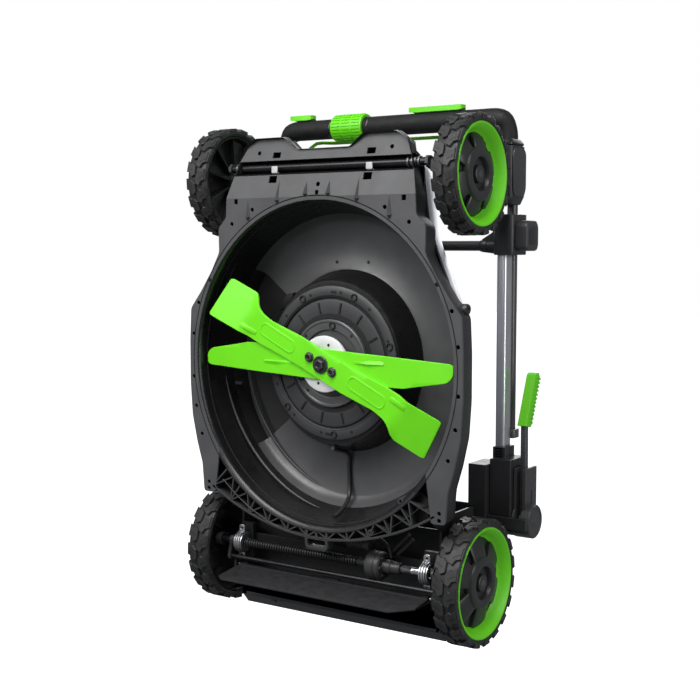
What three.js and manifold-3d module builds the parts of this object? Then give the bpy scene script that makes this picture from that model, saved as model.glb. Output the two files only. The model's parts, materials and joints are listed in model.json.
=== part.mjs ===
// Self-propelled push mower, stood up on its rear for storage with the handle folded and pushed in.
// Millimetres. +X is the mower's left side, +Y is up through the deck when it mows, +Z is forward.
// Until the last lines, Y = 0 is the deck's lower rim and Z = 0 is the drive shaft.

import * as THREE from 'three';
import { mergeVertices } from 'three/addons/utils/BufferGeometryUtils.js';
import Module from 'manifold-3d';

const wasm = await Module();
wasm.setup();

// ---- driving dimensions ----

const WHEELBASE = 689;
const GAP = 0.3; // clearance left between touching pieces

const REAR_WHEEL = { radius: 110, face: 288.5, width: 47, y: 92, z: -16, rim: 96 };
const FRONT_WHEEL = { radius: 101, face: 281, width: 45, y: 83, z: REAR_WHEEL.z + WHEELBASE, rim: 87 };
const FRONT_PIVOT = { y: 30, z: 694 };
const SHAFT = { y: 42, z: 0, radius: 6 }; // drive shaft; the rear wheels swing about it
const PINION = { radius: 12, x0: 246, x1: 258 };
const TIE = { y: 34, z: -28, radius: 4 }; // joins the two rear crank arms
const ARM = { front: 204, rear: 220, thickness: 6 };
const STUB_RADIUS = 6;
const PIN_BORE = 5.3;

const SPINDLE_Z = 348;
const CHAMBER = { radius: 272, floor: 242, depth: 105, stretch: 1.05, wall: 4 };
const HUMP = { base: 156, top: 141, y: 50 };
const DECK = { wall: 5, height: 38, noseZ: 640, noseRise: 0.28, noseReach: 125 };
const NOSE_CUT_X = 320;
const CHANNEL = { z0: 681, z1: 707, y: 39, halfLength: 197 };

const BLADE = { halfLength: 258, thickness: 4 };
const LIFT_BLADE_Y = 13.4;
const MULCH_BLADE_Y = 17.7;
const LIFT_BLADE_ANGLE = -26.6;
const DRIVE_PIN_OFFSET = 27;

const HOUSING = { x: 213, y0: 62, y1: 200, floor: REAR_WHEEL.z - REAR_WHEEL.radius, wall: 5 };
const SKIRT_HINGE = { y: 44, z: -44 };
const DOOR_HINGE = { y: 190, z: 14 };
const LID_HINGE = { y: 194, z: 332 };
const PIVOT = { y: 220, z: 70, radius: 30 }; // handle fold and height lever share this line
const KNUCKLE = { x0: 241, x1: 282, y0: 190, y1: 250, top: 180 };
const TUBE = { x0: 243, x1: 261, y0: 205, y1: 233, top: 600 };
const RAIL = { x0: 246, x1: 262, y0: 236, y1: 251, bottom: 215, top: 690 };
const YOKE = { x0: 239, x1: 275, y0: 200, y1: 258, z0: 537, z1: 612 };
const BAR = { y: 245, z: 780, radius: 19, halfSpan: 252, bend: 38.5 };
const BAIL = { y: 282, z: 757, radius: 3.5, pivotY: 232, pivotZ: 690, x: 214 };
const CAM = { x0: 275.6, x1: 302, y0: 208, y1: 252, z0: 548, z1: 597 };

// ---- solids and shapes ----

function signedVolume(points, triangles) {
  const [a, b, c] = [new THREE.Vector3(), new THREE.Vector3(), new THREE.Vector3()];
  let volume = 0;
  for (let i = 0; i < triangles.length; i += 3) {
    [a, b, c].forEach((corner, k) => corner.fromArray(points, 3 * triangles[i + k]));
    volume += a.dot(b.cross(c));
  }
  return volume;
}

function toSolid(geometry) {
  const plain = geometry.clone();
  plain.deleteAttribute('normal');
  plain.deleteAttribute('uv');
  const merged = mergeVertices(plain, 1e-4);
  const vertProperties = new Float32Array(merged.attributes.position.array);
  const triVerts = new Uint32Array(merged.index.array);
  if (signedVolume(vertProperties, triVerts) < 0) triVerts.reverse();
  return new wasm.Manifold(new wasm.Mesh({ numProp: 3, vertProperties, triVerts }));
}

function toGeometry(solid) {
  const { vertProperties, triVerts } = solid.getMesh();
  const geometry = new THREE.BufferGeometry();
  geometry.setAttribute('position', new THREE.BufferAttribute(vertProperties, 3));
  geometry.setIndex(new THREE.BufferAttribute(triVerts, 1));
  return geometry;
}

function join(first, ...others) {
  return toGeometry(others.reduce((body, piece) => body.add(toSolid(piece)), toSolid(first)));
}

function cut(body, ...tools) {
  return toGeometry(tools.reduce((left, tool) => left.subtract(toSolid(tool)), toSolid(body)));
}

function box([x0, x1], [y0, y1], [z0, z1]) {
  const size = [x1 - x0, y1 - y0, z1 - z0].map(Math.abs);
  return new THREE.BoxGeometry(...size).translate((x0 + x1) / 2, (y0 + y1) / 2, (z0 + z1) / 2);
}

function rodX(radius, [x0, x1], y, z, sides = 20) {
  const rod = new THREE.CylinderGeometry(radius, radius, Math.abs(x1 - x0), sides);
  return rod.rotateZ(Math.PI / 2).translate((x0 + x1) / 2, y, z);
}

function rodY(radius, [y0, y1], x, z, sides = 20) {
  return new THREE.CylinderGeometry(radius, radius, y1 - y0, sides).translate(x, (y0 + y1) / 2, z);
}

function rodZ(radius, [z0, z1], x, y, sides = 12) {
  const rod = new THREE.CylinderGeometry(radius, radius, z1 - z0, sides);
  return rod.rotateX(Math.PI / 2).translate(x, y, (z0 + z1) / 2);
}

// Solid of revolution about Y; the profile is a closed loop of [radius, height].
function turned(profile, sides = 32) {
  const loop = [...profile, profile[0]].map(([radius, height]) => new THREE.Vector2(radius, height));
  return new THREE.LatheGeometry(loop, sides);
}

// The same about X, with the profile's height along X on the given side of the mower.
function turnedX(profile, side, y, z, sides = 32) {
  const wheel = turned(profile, sides).rotateZ(-Math.PI / 2);
  if (side < 0) wheel.rotateY(Math.PI);
  return wheel.translate(0, y, z);
}

function extrude(outline, depth, holes, axes) {
  const shape = new THREE.Shape(outline.map(([u, v]) => new THREE.Vector2(u, v)));
  shape.holes = holes.map((hole) => new THREE.Path(hole.map(([u, v]) => new THREE.Vector2(u, v))));
  const solid = new THREE.ExtrudeGeometry(shape, { depth, bevelEnabled: false, curveSegments: 6 });
  return solid.applyMatrix4(new THREE.Matrix4().makeBasis(...axes));
}

const X = new THREE.Vector3(1, 0, 0);
const Y = new THREE.Vector3(0, 1, 0);
const Z = new THREE.Vector3(0, 0, 1);

// Outline in (x, z), thickness from y0 to y1.
function plateXZ(outline, [y0, y1], holes = []) {
  return extrude(outline, y1 - y0, holes, [X, Z, Y.clone().negate()]).translate(0, y1, 0);
}

// Outline in (y, z), thickness from x0 to x1, given in either order.
function plateYZ(outline, [x0, x1], holes = []) {
  return extrude(outline, Math.abs(x1 - x0), holes, [Y, Z, X]).translate(Math.min(x0, x1), 0, 0);
}

// Outline in (x, y), thickness from z0 to z1.
function plateXY(outline, [z0, z1], holes = []) {
  return extrude(outline, z1 - z0, holes, [X, Y, Z]).translate(0, 0, z0);
}

function roundedRectangle([x0, x1], [y0, y1], radius, steps = 2) {
  const corners = [[x1, y1, 0], [x0, y1, 1], [x0, y0, 2], [x1, y0, 3]];
  return corners.flatMap(([x, y, quarter]) => {
    const centreX = x + (x === x1 ? -radius : radius);
    const centreY = y + (y === y1 ? -radius : radius);
    return Array.from({ length: steps + 1 }, (_, i) => {
      const angle = (quarter + i / steps) * Math.PI / 2;
      return [centreX + radius * Math.cos(angle), centreY + radius * Math.sin(angle)];
    });
  });
}

function mirrorOutline(half) {
  const other = half.filter(([x]) => x !== 0).map(([x, z]) => [-x, z]).reverse();
  return [...half, ...other];
}

function scaleOutline(outline, factor, centreZ) {
  return outline.map(([x, z]) => [x * factor, centreZ + (z - centreZ) * factor]);
}

// Skin through rings of equal point count, closed with a fan at each end.
function loft(rings) {
  const count = rings[0].length;
  const points = rings.flat();
  const triangles = [];
  for (let r = 0; r + 1 < rings.length; r++) {
    for (let i = 0; i < count; i++) {
      const [a, b] = [r * count + i, r * count + (i + 1) % count];
      triangles.push(a, b, b + count, a, b + count, a + count);
    }
  }
  const caps = [[0, 1], [(rings.length - 1) * count, -1]];
  for (const [start, direction] of caps) {
    const ring = points.slice(start, start + count);
    const centre = [0, 1, 2].map((k) => ring.reduce((sum, p) => sum + p[k], 0) / count);
    points.push(centre);
    for (let i = 0; i < count; i++) {
      const pair = [start + i, start + (i + 1) % count];
      if (direction > 0) pair.reverse();
      triangles.push(points.length - 1, ...pair);
    }
  }
  const geometry = new THREE.BufferGeometry();
  geometry.setAttribute('position', new THREE.BufferAttribute(new Float32Array(points.flat()), 3));
  geometry.setIndex(triangles);
  return geometry;
}

function sweep(route, radius, sides, steps) {
  const path = new THREE.CatmullRomCurve3(route.map((point) => new THREE.Vector3(...point)));
  const corners = Array.from({ length: sides }, (_, i) => {
    const angle = i / sides * 2 * Math.PI;
    return new THREE.Vector2(radius * Math.cos(angle), radius * Math.sin(angle));
  });
  return new THREE.ExtrudeGeometry(new THREE.Shape(corners), { steps, extrudePath: path });
}

// ---- finishes ----

const finish = {
  blackPlastic: { color: 0x1e1f21, roughness: 0.45, metalness: 0 },
  greyPlastic: { color: 0x4a4b4e, roughness: 0.5, metalness: 0 },
  silver: { color: 0xa2a4b0, roughness: 0.35, metalness: 0.4 },
  rubber: { color: 0x17181a, roughness: 0.7, metalness: 0 },
  lime: { color: 0x78e62a, roughness: 0.4, metalness: 0 },
  aluminium: { color: 0xc9cbce, roughness: 0.3, metalness: 0.9 },
  steel: { color: 0xb5b6b8, roughness: 0.25, metalness: 1 },
  darkSteel: { color: 0x2c2d30, roughness: 0.35, metalness: 0.8 },
  white: { color: 0xe6e6e6, roughness: 0.4, metalness: 0 },
  copper: { color: 0xb06a3a, roughness: 0.4, metalness: 0.9 },
};

const mower = new THREE.Group();

function add(name, geometry, look) {
  const mesh = new THREE.Mesh(geometry, new THREE.MeshStandardMaterial(finish[look]));
  mesh.name = name;
  mower.add(mesh);
}

const SIDES = [['left', 1], ['right', -1]];
const across = (side, x0, x1) => [side * x0, side * x1].sort((a, b) => a - b);

// ---- deck and covers ----

function deckOutline() {
  const sides = [[0, 724], [56, 724], [84, 747], [150, 747], [172, 733], [190, 676], [199, 640], [200, 606],
    [218, 587], [217, 543], [236, 508], [262, 470], [286, 440], [289, 380], [289, 300], [285, 240],
    [274, 190], [262, 150], [258, 98], [232, 98]];
  const archRadius = SPINDLE_Z - 39;
  const arch = [40, 30, 20, 10, 0].map((degrees) => {
    const angle = degrees * Math.PI / 180;
    return [archRadius * Math.sin(angle), SPINDLE_Z - archRadius * Math.cos(angle)];
  });
  return mirrorOutline([...sides, ...arch]);
}

// Everything below the sloping front plate, to be cut away, with the plate's own thickness added.
function belowNose(thickness) {
  const { noseZ, noseRise, noseReach } = DECK;
  const tip = thickness + noseRise * noseReach;
  const slope = [[-60, noseZ], [thickness, noseZ], [tip, noseZ + noseReach], [-60, noseZ + noseReach]];
  return plateYZ(slope, [-NOSE_CUT_X, NOSE_CUT_X]);
}

function chamberWall() {
  const { radius, floor, depth, wall, stretch } = CHAMBER;
  const profile = [[radius, 0], [radius, 30], [floor, depth], [HUMP.base, depth], [HUMP.top, HUMP.y],
    [118, HUMP.y], [118, HUMP.y + wall], [HUMP.top - wall, HUMP.y + wall], [HUMP.base - wall, depth + wall],
    [floor + wall, depth + wall], [radius + wall, 31], [radius + wall, 0]];
  return turned(profile, 40).scale(1, 1, stretch).translate(0, 0, SPINDLE_Z);
}

function deckShell() {
  const outline = deckOutline();
  const inner = scaleOutline(outline, 0.982, 400);
  const hollow = cut(plateXZ(inner, [DECK.wall, DECK.height + 1]), belowNose(DECK.wall));
  const tray = cut(plateXZ(outline, [0, DECK.height]), belowNose(0), hollow);
  const trough = box([-CHANNEL.halfLength, CHANNEL.halfLength], [12, CHANNEL.y + 4],
    [CHANNEL.z0 - 4, CHANNEL.z1 + 4]);
  const channel = box([-300, 300], [-1, CHANNEL.y], [CHANNEL.z0, CHANNEL.z1]);
  const mouth = rodY(CHAMBER.radius, [-2, 29], 0, 0, 40).scale(1, 1, CHAMBER.stretch);
  return cut(join(cut(tray, mouth.translate(0, 0, SPINDLE_Z)), chamberWall(), trough), channel);
}

// The shroud's plan at deck level; it follows the deck a little inside its edge.
function shroudRing(y, scale) {
  const half = [[0, 738], [90, 738], [150, 732], [188, 700], [196, 640], [206, 590], [230, 530], [262, 460],
    [280, 400], [280, 300], [270, 220], [246, 150], [205, 99], [150, 62], [90, 48], [0, 48]];
  const outline = scaleOutline(mirrorOutline(half), scale, 380);
  return outline.map(([x, z]) => [x, y, z]);
}

function topShroud() {
  const levels = [[DECK.height + GAP, 1], [72, 0.97], [108, 0.912], [132, 0.84], [150, 0.73], [154, 0.62]];
  const outer = loft(levels.map(([y, scale]) => shroudRing(y, scale)));
  const inner = loft(levels.map(([y, scale], i) => shroudRing(y - (i ? 4 : 1), scale - 0.014)));
  const well = box([-62, 62], [100, 200], [367, 543]);
  const lugs = [[291, 297], [141, 147]].map((range) => box([-300, -225], [79, 89], range));
  const overChannel = box([-300, 300], [30, CHANNEL.y + 5], [CHANNEL.z0 - 5, CHANNEL.z1 + 5]);
  return cut(join(outer, ...lugs), inner, well, overChannel);
}

function hoodRing(y, inset) {
  const outline = roundedRectangle([-118 + inset, 118 - inset], [205 + inset, 600 - inset], 50 - inset / 2, 3);
  return outline.map(([x, z]) => [x, y, z]);
}

function motorHood() {
  const levels = [[154.4, 0], [180, 4], [192, 14], [197, 32]];
  const outer = loft(levels.map(([y, inset]) => hoodRing(y, inset)));
  const inner = loft(levels.map(([y, inset], i) => hoodRing(y - (i ? 4 : 1), inset + 4)));
  const hatch = box([-62, 62], [150, 210], [325, 545]);
  return cut(outer, inner, hatch);
}

function batteryLid() {
  const { y, z } = LID_HINGE;
  const lid = plateYZ([[y - 3, z], [y + 4, z - 3], [y + 9, z + 6], [y + 9, 538], [y + 4, 543], [y - 3, 543]],
    [-61, 61]);
  return join(lid, rodX(4.5, [-61, 61], y, z, 12));
}

function batteryPack() {
  const body = box([-57, 57], [114, 182], [372, 538]);
  const grip = box([-30, 30], [180, 189], [500, 526]);
  return cut(join(body, grip), box([-22, 22], [178, 185], [495, 530]));
}

function rearHousing() {
  const { x, y0, y1, floor, wall } = HOUSING;
  const hinge = SKIRT_HINGE;
  const sideOutline = [[y0, floor], [y1, floor], [y1, 94], [40, 94], [40, 84], [y0, 70], [y0, -18],
    [hinge.y - 7, hinge.z + 9], [hinge.y - 7, hinge.z - 9], [y0, -72]];
  const ear = [[SHAFT.y - 10, 3], [y0 + 2, 30], [y0 + 2, -16], [SHAFT.y - 10, -3]];
  const walls = SIDES.map(([, side]) => {
    const range = across(side, x, x + wall);
    const plate = join(plateYZ(sideOutline, range), plateYZ(ear, range), rodX(11, range, SHAFT.y, SHAFT.z));
    const bore = (radius, hole) => rodX(radius, across(side, x - 3, x + 10), hole.y, hole.z, 16);
    return cut(plate, bore(SHAFT.radius + GAP, SHAFT), bore(PIN_BORE, SKIRT_HINGE), bore(PIN_BORE, DOOR_HINGE));
  });
  const seats = SIDES.map(([, side]) => cut(box(across(side, 187, x + 1), [56, 66], [-30, 34]),
    rodX(17.9, across(side, 192.4, 212), SHAFT.y, SHAFT.z, 24)));
  const rail = box([-x - 1, x + 1], [65, 69], [-10, 14]);
  const ramp = plateYZ([[y0, floor], [104, floor], [104, 24], [112, 60], [108, 60], [98, 24], [98, floor + 12],
    [y0, floor + 12]], [-x - 1, x + 1]);
  const top = box([-x - 1, x + 1], [y1 - 4, y1], [28, 94]);
  return join(ramp, top, rail, ...seats, ...walls);
}

function rearDoor() {
  const { y, z } = DOOR_HINGE;
  const panel = plateYZ([[y - 4, z], [y + 3, z], [128, -106], [118, -106]], [-206, 206]);
  return join(panel, rodX(5, [-217, 217], y, z, 12));
}

function sideDoor() {
  const panel = plateYZ([[8, 128], [70, 137], [76, 150], [84, 180], [84, 285], [8, 285]], [-291.2, -295.2]);
  return join(panel, rodZ(4.5, [150, 285], -294, 84));
}

function trailingSkirt() {
  const { y, z } = SKIRT_HINGE;
  const flap = plateYZ([[y, z + 4], [-34, -52], [-34, -56], [y, z - 4]], [-205, 205]);
  return join(flap, rodX(5, [-217, 217], y, z, 12));
}

add('deck_shell', deckShell(), 'greyPlastic');
add('top_shroud', topShroud(), 'silver');
add('motor_hood', motorHood(), 'blackPlastic');
add('battery_lid', batteryLid(), 'blackPlastic');
add('battery_pack', batteryPack(), 'greyPlastic');
add('rear_housing', rearHousing(), 'blackPlastic');
add('rear_door', rearDoor(), 'blackPlastic');
add('side_door', sideDoor(), 'blackPlastic');
add('trailing_skirt', trailingSkirt(), 'rubber');

// ---- motor and cutter ----

function hexagonal(radius, [y0, y1], x, z) {
  return rodY(radius, [y0, y1], x, z, 6);
}

function motorMount() {
  const profile = [[14.5, 36], [30, 36], [30, 44.4], [137, 44.4], [137, 49.7], [34, 49.7], [34, 62], [14.5, 62]];
  return turned(profile, 30).translate(0, 0, SPINDLE_Z);
}

function motorStator() {
  return turned([[46, 50.1], [76, 50.1], [76, 98], [46, 98]], 32).translate(0, 0, SPINDLE_Z);
}

function rotorShaft() {
  const profile = [[0, 28], [9, 28], [9, 64], [44, 64], [44, 96], [9, 96], [9, 102], [0, 102]];
  return new THREE.LatheGeometry(profile.map(([r, y]) => new THREE.Vector2(r, y)), 28)
    .translate(0, 0, SPINDLE_Z);
}

// Holes for the centre bolt and the two drive pins, shared by the blades and the adapter.
function boltHoles(range) {
  const angle = LIFT_BLADE_ANGLE * Math.PI / 180;
  const [dx, dz] = [DRIVE_PIN_OFFSET * Math.cos(angle), DRIVE_PIN_OFFSET * Math.sin(angle)];
  const pins = [1, -1].map((side) => rodY(4.3, range, side * dx, SPINDLE_Z + side * dz, 12));
  return [rodY(6.3, range, 0, SPINDLE_Z, 16), ...pins];
}

function bladeOutline(halfOutline) {
  return [...halfOutline, ...halfOutline.map(([x, z]) => [-x, -z])];
}

function liftBlade() {
  const half = [[60, 26], [134, 33], [190, 33], [BLADE.halfLength, 38], [250, -41], [188, -44], [177, -38],
    [168, -26], [152, -18], [130, -15], [60, -24]];
  const blade = plateXZ(bladeOutline(half), [LIFT_BLADE_Y, LIFT_BLADE_Y + BLADE.thickness]);
  const angle = LIFT_BLADE_ANGLE * Math.PI / 180;
  const placed = blade.rotateY(-angle).translate(0, 0, SPINDLE_Z);
  return cut(placed, ...boltHoles([0, 40]));
}

function mulchBlade() {
  const half = [[60, 24], [160, 19], [262, 13], [262, -9], [250, -18], [168, -32], [60, -31]];
  const blade = plateXZ(bladeOutline(half), [MULCH_BLADE_Y, MULCH_BLADE_Y + BLADE.thickness]);
  return cut(blade.translate(0, 0, SPINDLE_Z), ...boltHoles([0, 40]));
}

function bladeAdapter() {
  const disc = rodY(50, [22, 27.6], 0, SPINDLE_Z, 32);
  return cut(disc, ...boltHoles([21, 26]));
}

function bladeBolt() {
  const flange = rodY(16, [10.6, 13.1], 0, SPINDLE_Z, 20);
  const shank = rodY(6, [13, 25.6], 0, SPINDLE_Z, 16);
  return join(hexagonal(11, [3, 10.7], 0, SPINDLE_Z), flange, shank);
}

function bladePin(side) {
  const angle = LIFT_BLADE_ANGLE * Math.PI / 180;
  const x = side * DRIVE_PIN_OFFSET * Math.cos(angle);
  const z = SPINDLE_Z + side * DRIVE_PIN_OFFSET * Math.sin(angle);
  return join(hexagonal(8.5, [6, 13.1], x, z), rodY(4, [13, 25.6], x, z, 12));
}

// The lead runs from the motor over the chamber floor and down its rear wall.
function motorCable() {
  const route = [[0, 50, 194.6], [1, 60, 192], [3, 76, 187.4], [4, 91, 182], [3, 99.5, 173], [1, 101, 158],
    [3, 99.5, 125], [7, 93, 104], [11, 78, 92.6], [14, 60, 84.6], [14, 46, 78.6], [12, 36, 75]];
  return sweep(route, 3.4, 8, 24);
}

function controllerBox() {
  return box([-50, 50], [114, 146], [549, 592]);
}

add('motor_mount', motorMount(), 'greyPlastic');
add('motor_stator', motorStator(), 'copper');
add('motor_cable', motorCable(), 'blackPlastic');
add('controller', controllerBox(), 'blackPlastic');
add('rotor_shaft', rotorShaft(), 'steel');
add('blade_adapter', bladeAdapter(), 'white');
add('lift_blade', liftBlade(), 'lime');
add('mulch_blade', mulchBlade(), 'lime');
add('blade_bolt', bladeBolt(), 'darkSteel');
for (const [name, side] of SIDES) add(`blade_pin_${name}`, bladePin(side), 'darkSteel');

// ---- wheels, axles and height adjustment ----

function tyre(wheel, side) {
  const { radius, face, width, rim } = wheel;
  const [inner, outer] = [face - width, face];
  const profile = [[rim, inner + 4], [radius - 5, inner], [radius, inner + 7], [radius, outer - 8],
    [radius - 5, outer], [rim, outer - 2]];
  return turnedX(profile, side, wheel.y, wheel.z, 24);
}

function hub(wheel, side) {
  const { face, width, rim } = wheel;
  const [inner, outer] = [face - width, face];
  const bore = STUB_RADIUS + GAP;
  const profile = [[rim - GAP, inner + 4], [rim - GAP, outer - 2], [rim - 5, outer - 1], [rim - 20, outer - 22],
    [40, outer - 16], [34, outer - 4], [bore, outer - 4], [bore, inner + 2], [18, inner + 2],
    [22, outer - 22], [rim - 24, outer - 27], [rim - 7, inner + 4]];
  return turnedX(profile, side, wheel.y, wheel.z, 24);
}

// A flat bar with round ends, from one (y, z) point to another.
function barOutline(from, to, radius) {
  const along = Math.atan2(to.z - from.z, to.y - from.y);
  const end = (centre, start) => [0, 1, 2, 3, 4].map((i) => {
    const angle = start + i / 4 * Math.PI;
    return [centre.y + radius * Math.cos(angle), centre.z + radius * Math.sin(angle)];
  });
  return [...end(from, along + Math.PI / 2), ...end(to, along - Math.PI / 2)];
}

// Crank arm with the stub axle of its wheel.
function crankArm(side, x, pivot, wheel) {
  const arm = plateYZ(barOutline(pivot, wheel, 10), across(side, x, x + ARM.thickness));
  const stub = rodX(STUB_RADIUS, across(side, x + 1, wheel.face - 6), wheel.y, wheel.z, 16);
  return join(arm, stub);
}

function frontAxle() {
  const rod = rodX(7, [-ARM.front - 4, ARM.front + 4], FRONT_PIVOT.y, FRONT_PIVOT.z, 16);
  return join(rod, ...SIDES.map(([, side]) => crankArm(side, ARM.front, FRONT_PIVOT, FRONT_WHEEL)));
}

function axleClip(side) {
  return box(across(side, 91, 109), [14, 22.6], [CHANNEL.z0 + GAP, CHANNEL.z1 - GAP]);
}

function rearAxleCarrier() {
  const arms = SIDES.map(([, side]) => {
    const range = across(side, ARM.rear, ARM.rear + ARM.thickness);
    const arm = join(crankArm(side, ARM.rear, SHAFT, REAR_WHEEL), plateYZ(barOutline(SHAFT, TIE, 7), range));
    const bore = across(side, ARM.rear - 1, ARM.rear + ARM.thickness + 1);
    return cut(arm, rodX(SHAFT.radius + GAP, bore, SHAFT.y, SHAFT.z, 16));
  });
  return join(rodX(TIE.radius, [-ARM.rear - 3, ARM.rear + 3], TIE.y, TIE.z, 12), ...arms);
}

function bearingClamp(side) {
  const ring = turnedX([[9.2, 194], [17.4, 194], [17.4, 208], [9.2, 208]], side, SHAFT.y, SHAFT.z, 24);
  const strap = box(across(side, 196, 206), [51, 55.6], [-30, 31]);
  return join(ring, cut(strap, rodX(9.2, across(side, 190, 210), SHAFT.y, SHAFT.z, 24)));
}

function axleSleeve() {
  const [start, end] = [-193, 88];
  return turnedX([[6.6, start], [8, start], [8, end], [6.6, end]], 1, SHAFT.y, SHAFT.z, 16);
}

function gearbox() {
  const drum = rodX(22, [88.6, 116], SHAFT.y, SHAFT.z, 24);
  const neck = rodX(12, [115, 150], SHAFT.y, SHAFT.z, 20);
  const saddle = box([96, 112], [50, 64.6], [-9, 13]);
  return cut(join(drum, neck, saddle), rodX(6.6, [80, 160], SHAFT.y, SHAFT.z, 16));
}

function driveMotor() {
  return rodX(13, [36, 84], 50, 32, 20);
}

function driveShaft() {
  const reach = PINION.x1 + 2;
  const pinions = SIDES.map(([, side]) => rodX(PINION.radius, across(side, PINION.x0, PINION.x1),
    SHAFT.y, SHAFT.z));
  return join(rodX(SHAFT.radius, [-reach, reach], SHAFT.y, SHAFT.z, 16), ...pinions);
}

function leverHousing() {
  const { y, z, radius } = PIVOT;
  const boss = rodX(radius, [284, 317], y, z, 28);
  const block = box([284, 306], [200, 246], [z, 165]);
  const pad = box([286, 315], [187, 200], [60, 80]);
  const slot = box([288.4, 300.6], [150, 290], [z - 18, 180]);
  const bore = rodX(PIN_BORE, [286, 304], y, z, 12);
  return cut(join(boss, block, pad), slot, bore);
}

function heightLever() {
  const { y, z } = PIVOT;
  const bar = plateYZ([[y - 7, z], [y + 7, z], [224, 238], [258, 322], [250, 324], [213, 240]], [289.6, 299.4]);
  return join(bar, rodX(13, [289.6, 299.4], y, z, 16), rodX(5, [286.4, 303.6], y, z, 12));
}

function leverGrip() {
  const outline = [[207, 240], [227, 236], [262, 322], [258, 330], [250, 331], [243, 328]];
  const grip = plateYZ(outline, [285.5, 303]);
  return cut(grip, plateYZ([[212.7, 230], [224.3, 230], [224.3, 238], [258.4, 322.6], [249.8, 324.6], [212.7, 240]],
    [289.3, 299.7]));
}

function heightLink() {
  return rodZ(4, [128, 650], 118, 116, 10);
}

for (const [name, side] of SIDES) {
  add(`front_wheel_${name}_tyre`, tyre(FRONT_WHEEL, side), 'rubber');
  add(`front_wheel_${name}_hub`, hub(FRONT_WHEEL, side), 'lime');
  add(`rear_wheel_${name}_tyre`, tyre(REAR_WHEEL, side), 'rubber');
  add(`rear_wheel_${name}_hub`, hub(REAR_WHEEL, side), 'lime');
  add(`front_axle_clip_${name}`, axleClip(side), 'steel');
  add(`bearing_clamp_${name}`, bearingClamp(side), 'steel');
}
add('front_axle', frontAxle(), 'darkSteel');
add('rear_axle_carrier', rearAxleCarrier(), 'darkSteel');
add('axle_sleeve', axleSleeve(), 'blackPlastic');
add('gearbox', gearbox(), 'blackPlastic');
add('drive_motor', driveMotor(), 'blackPlastic');
add('drive_shaft', driveShaft(), 'steel');
add('lever_housing', leverHousing(), 'greyPlastic');
add('height_lever', heightLever(), 'darkSteel');
add('lever_grip', leverGrip(), 'lime');

add('height_link', heightLink(), 'darkSteel');

// ---- handle ----

function handleBracket(side) {
  const { y, z } = PIVOT;
  const reach = side > 0 ? 317 : 283;
  const shoulder = box(across(side, 206, 240), [176, 236], [95, 170]);
  const plate = plateYZ([[176, 30], [196, 22], [236, 30], [250, 50], [250, 96], [176, 96]], across(side, 219, 240));
  const web = box(across(side, 219, reach), [180, 186.7], [60, 80]);
  const pin = rodX(10, across(side, 239, 283.4), y, z, 20);
  return join(plate, shoulder, web, pin);
}

function socket(side, part, zRange) {
  const outline = roundedRectangle(across(side, part.x0 - GAP, part.x1 + GAP), [part.y0 - GAP, part.y1 + GAP], 5);
  return plateXY(outline, zRange);
}

function knuckle(side) {
  const { x0, x1, y0, y1, top } = KNUCKLE;
  const lower = [0, 1, 2, 3, 4, 5, 6].map((i) => {
    const angle = Math.PI + i / 6 * Math.PI;
    return [PIVOT.y + PIVOT.radius * Math.cos(angle), PIVOT.z + PIVOT.radius * Math.sin(angle)];
  });
  const block = plateYZ([...lower, [y1, top], [y0, top]], across(side, x0, x1));
  const collar = box(across(side, x0, 266), [201, 238], [top - 1, top + 20]);
  return cut(join(block, collar), socket(side, TUBE, [118, top + 30]),
    rodX(10.3, across(side, x0 - 2, x1 + 2), PIVOT.y, PIVOT.z, 20));
}

function lowerTube(side) {
  const { x0, x1, y0, y1, top } = TUBE;
  const bore = roundedRectangle(across(side, x0 + 2, x1 - 2), [y0 + 2, y1 - 2], 3);
  return plateXY(roundedRectangle(across(side, x0, x1), [y0, y1], 5), [118.3, top - GAP], [bore]);
}

function telescopeYoke() {
  const { x0, x1, y0, y1, z0, z1 } = YOKE;
  const blocks = SIDES.map(([, side]) => plateXY(roundedRectangle(across(side, x0, x1), [y0, y1], 6), [z0, z1]));
  const crossbar = rodX(9, [-x0 - 2, x0 + 2], 225, 555, 16);
  const sockets = SIDES.flatMap(([, side]) => [socket(side, TUBE, [z0 - 5, TUBE.top]),
    socket(side, RAIL, [z0 - 5, z1 + 5])]);
  return cut(join(crossbar, ...blocks), ...sockets);
}

function lockCam(side) {
  const { x0, x1, y0, y1, z0, z1 } = CAM;
  const outline = [[x0, y0], [x0, 246], [278, 250.5], [281, 252], [292, y1], [x1, 242], [x1, 216], [294, y0]];
  return plateXY(outline.map(([x, y]) => [side * x, y]), [z0, z1]);
}

function upperRail(side) {
  const { x0, x1, y0, y1, bottom, top } = RAIL;
  const rail = plateXY(roundedRectangle(across(side, x0, x1), [y0, y1], 4.6), [bottom, top - GAP]);
  return join(rail, box(across(side, x0 - 2, x1 + 4), [y0 - 1.8, y1 + 4], [bottom - 3, bottom + 13]));
}

function handleHousing(side) {
  const outline = roundedRectangle(across(side, 240, 273), [203, 262], 8);
  return cut(plateXY(outline, [627, 741]), socket(side, RAIL, [620, RAIL.top]));
}

function handlebar() {
  const { y, z, radius, halfSpan, bend } = BAR;
  const path = new THREE.CurvePath();
  const corner = (side) => new THREE.QuadraticBezierCurve3(
    new THREE.Vector3(side * halfSpan, y, z - bend), new THREE.Vector3(side * halfSpan, y, z),
    new THREE.Vector3(side * (halfSpan - bend), y, z));
  const start = corner(-1);
  const end = corner(1);
  [end.v0, end.v2] = [end.v2, end.v0];
  path.add(start);
  path.add(new THREE.LineCurve3(start.v2, end.v0));
  path.add(end);
  const circle = Array.from({ length: 14 }, (_, i) => {
    const angle = i / 14 * 2 * Math.PI;
    return new THREE.Vector2(radius * Math.cos(angle), radius * Math.sin(angle));
  });
  return new THREE.ExtrudeGeometry(new THREE.Shape(circle), { steps: 24, extrudePath: path });
}

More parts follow.
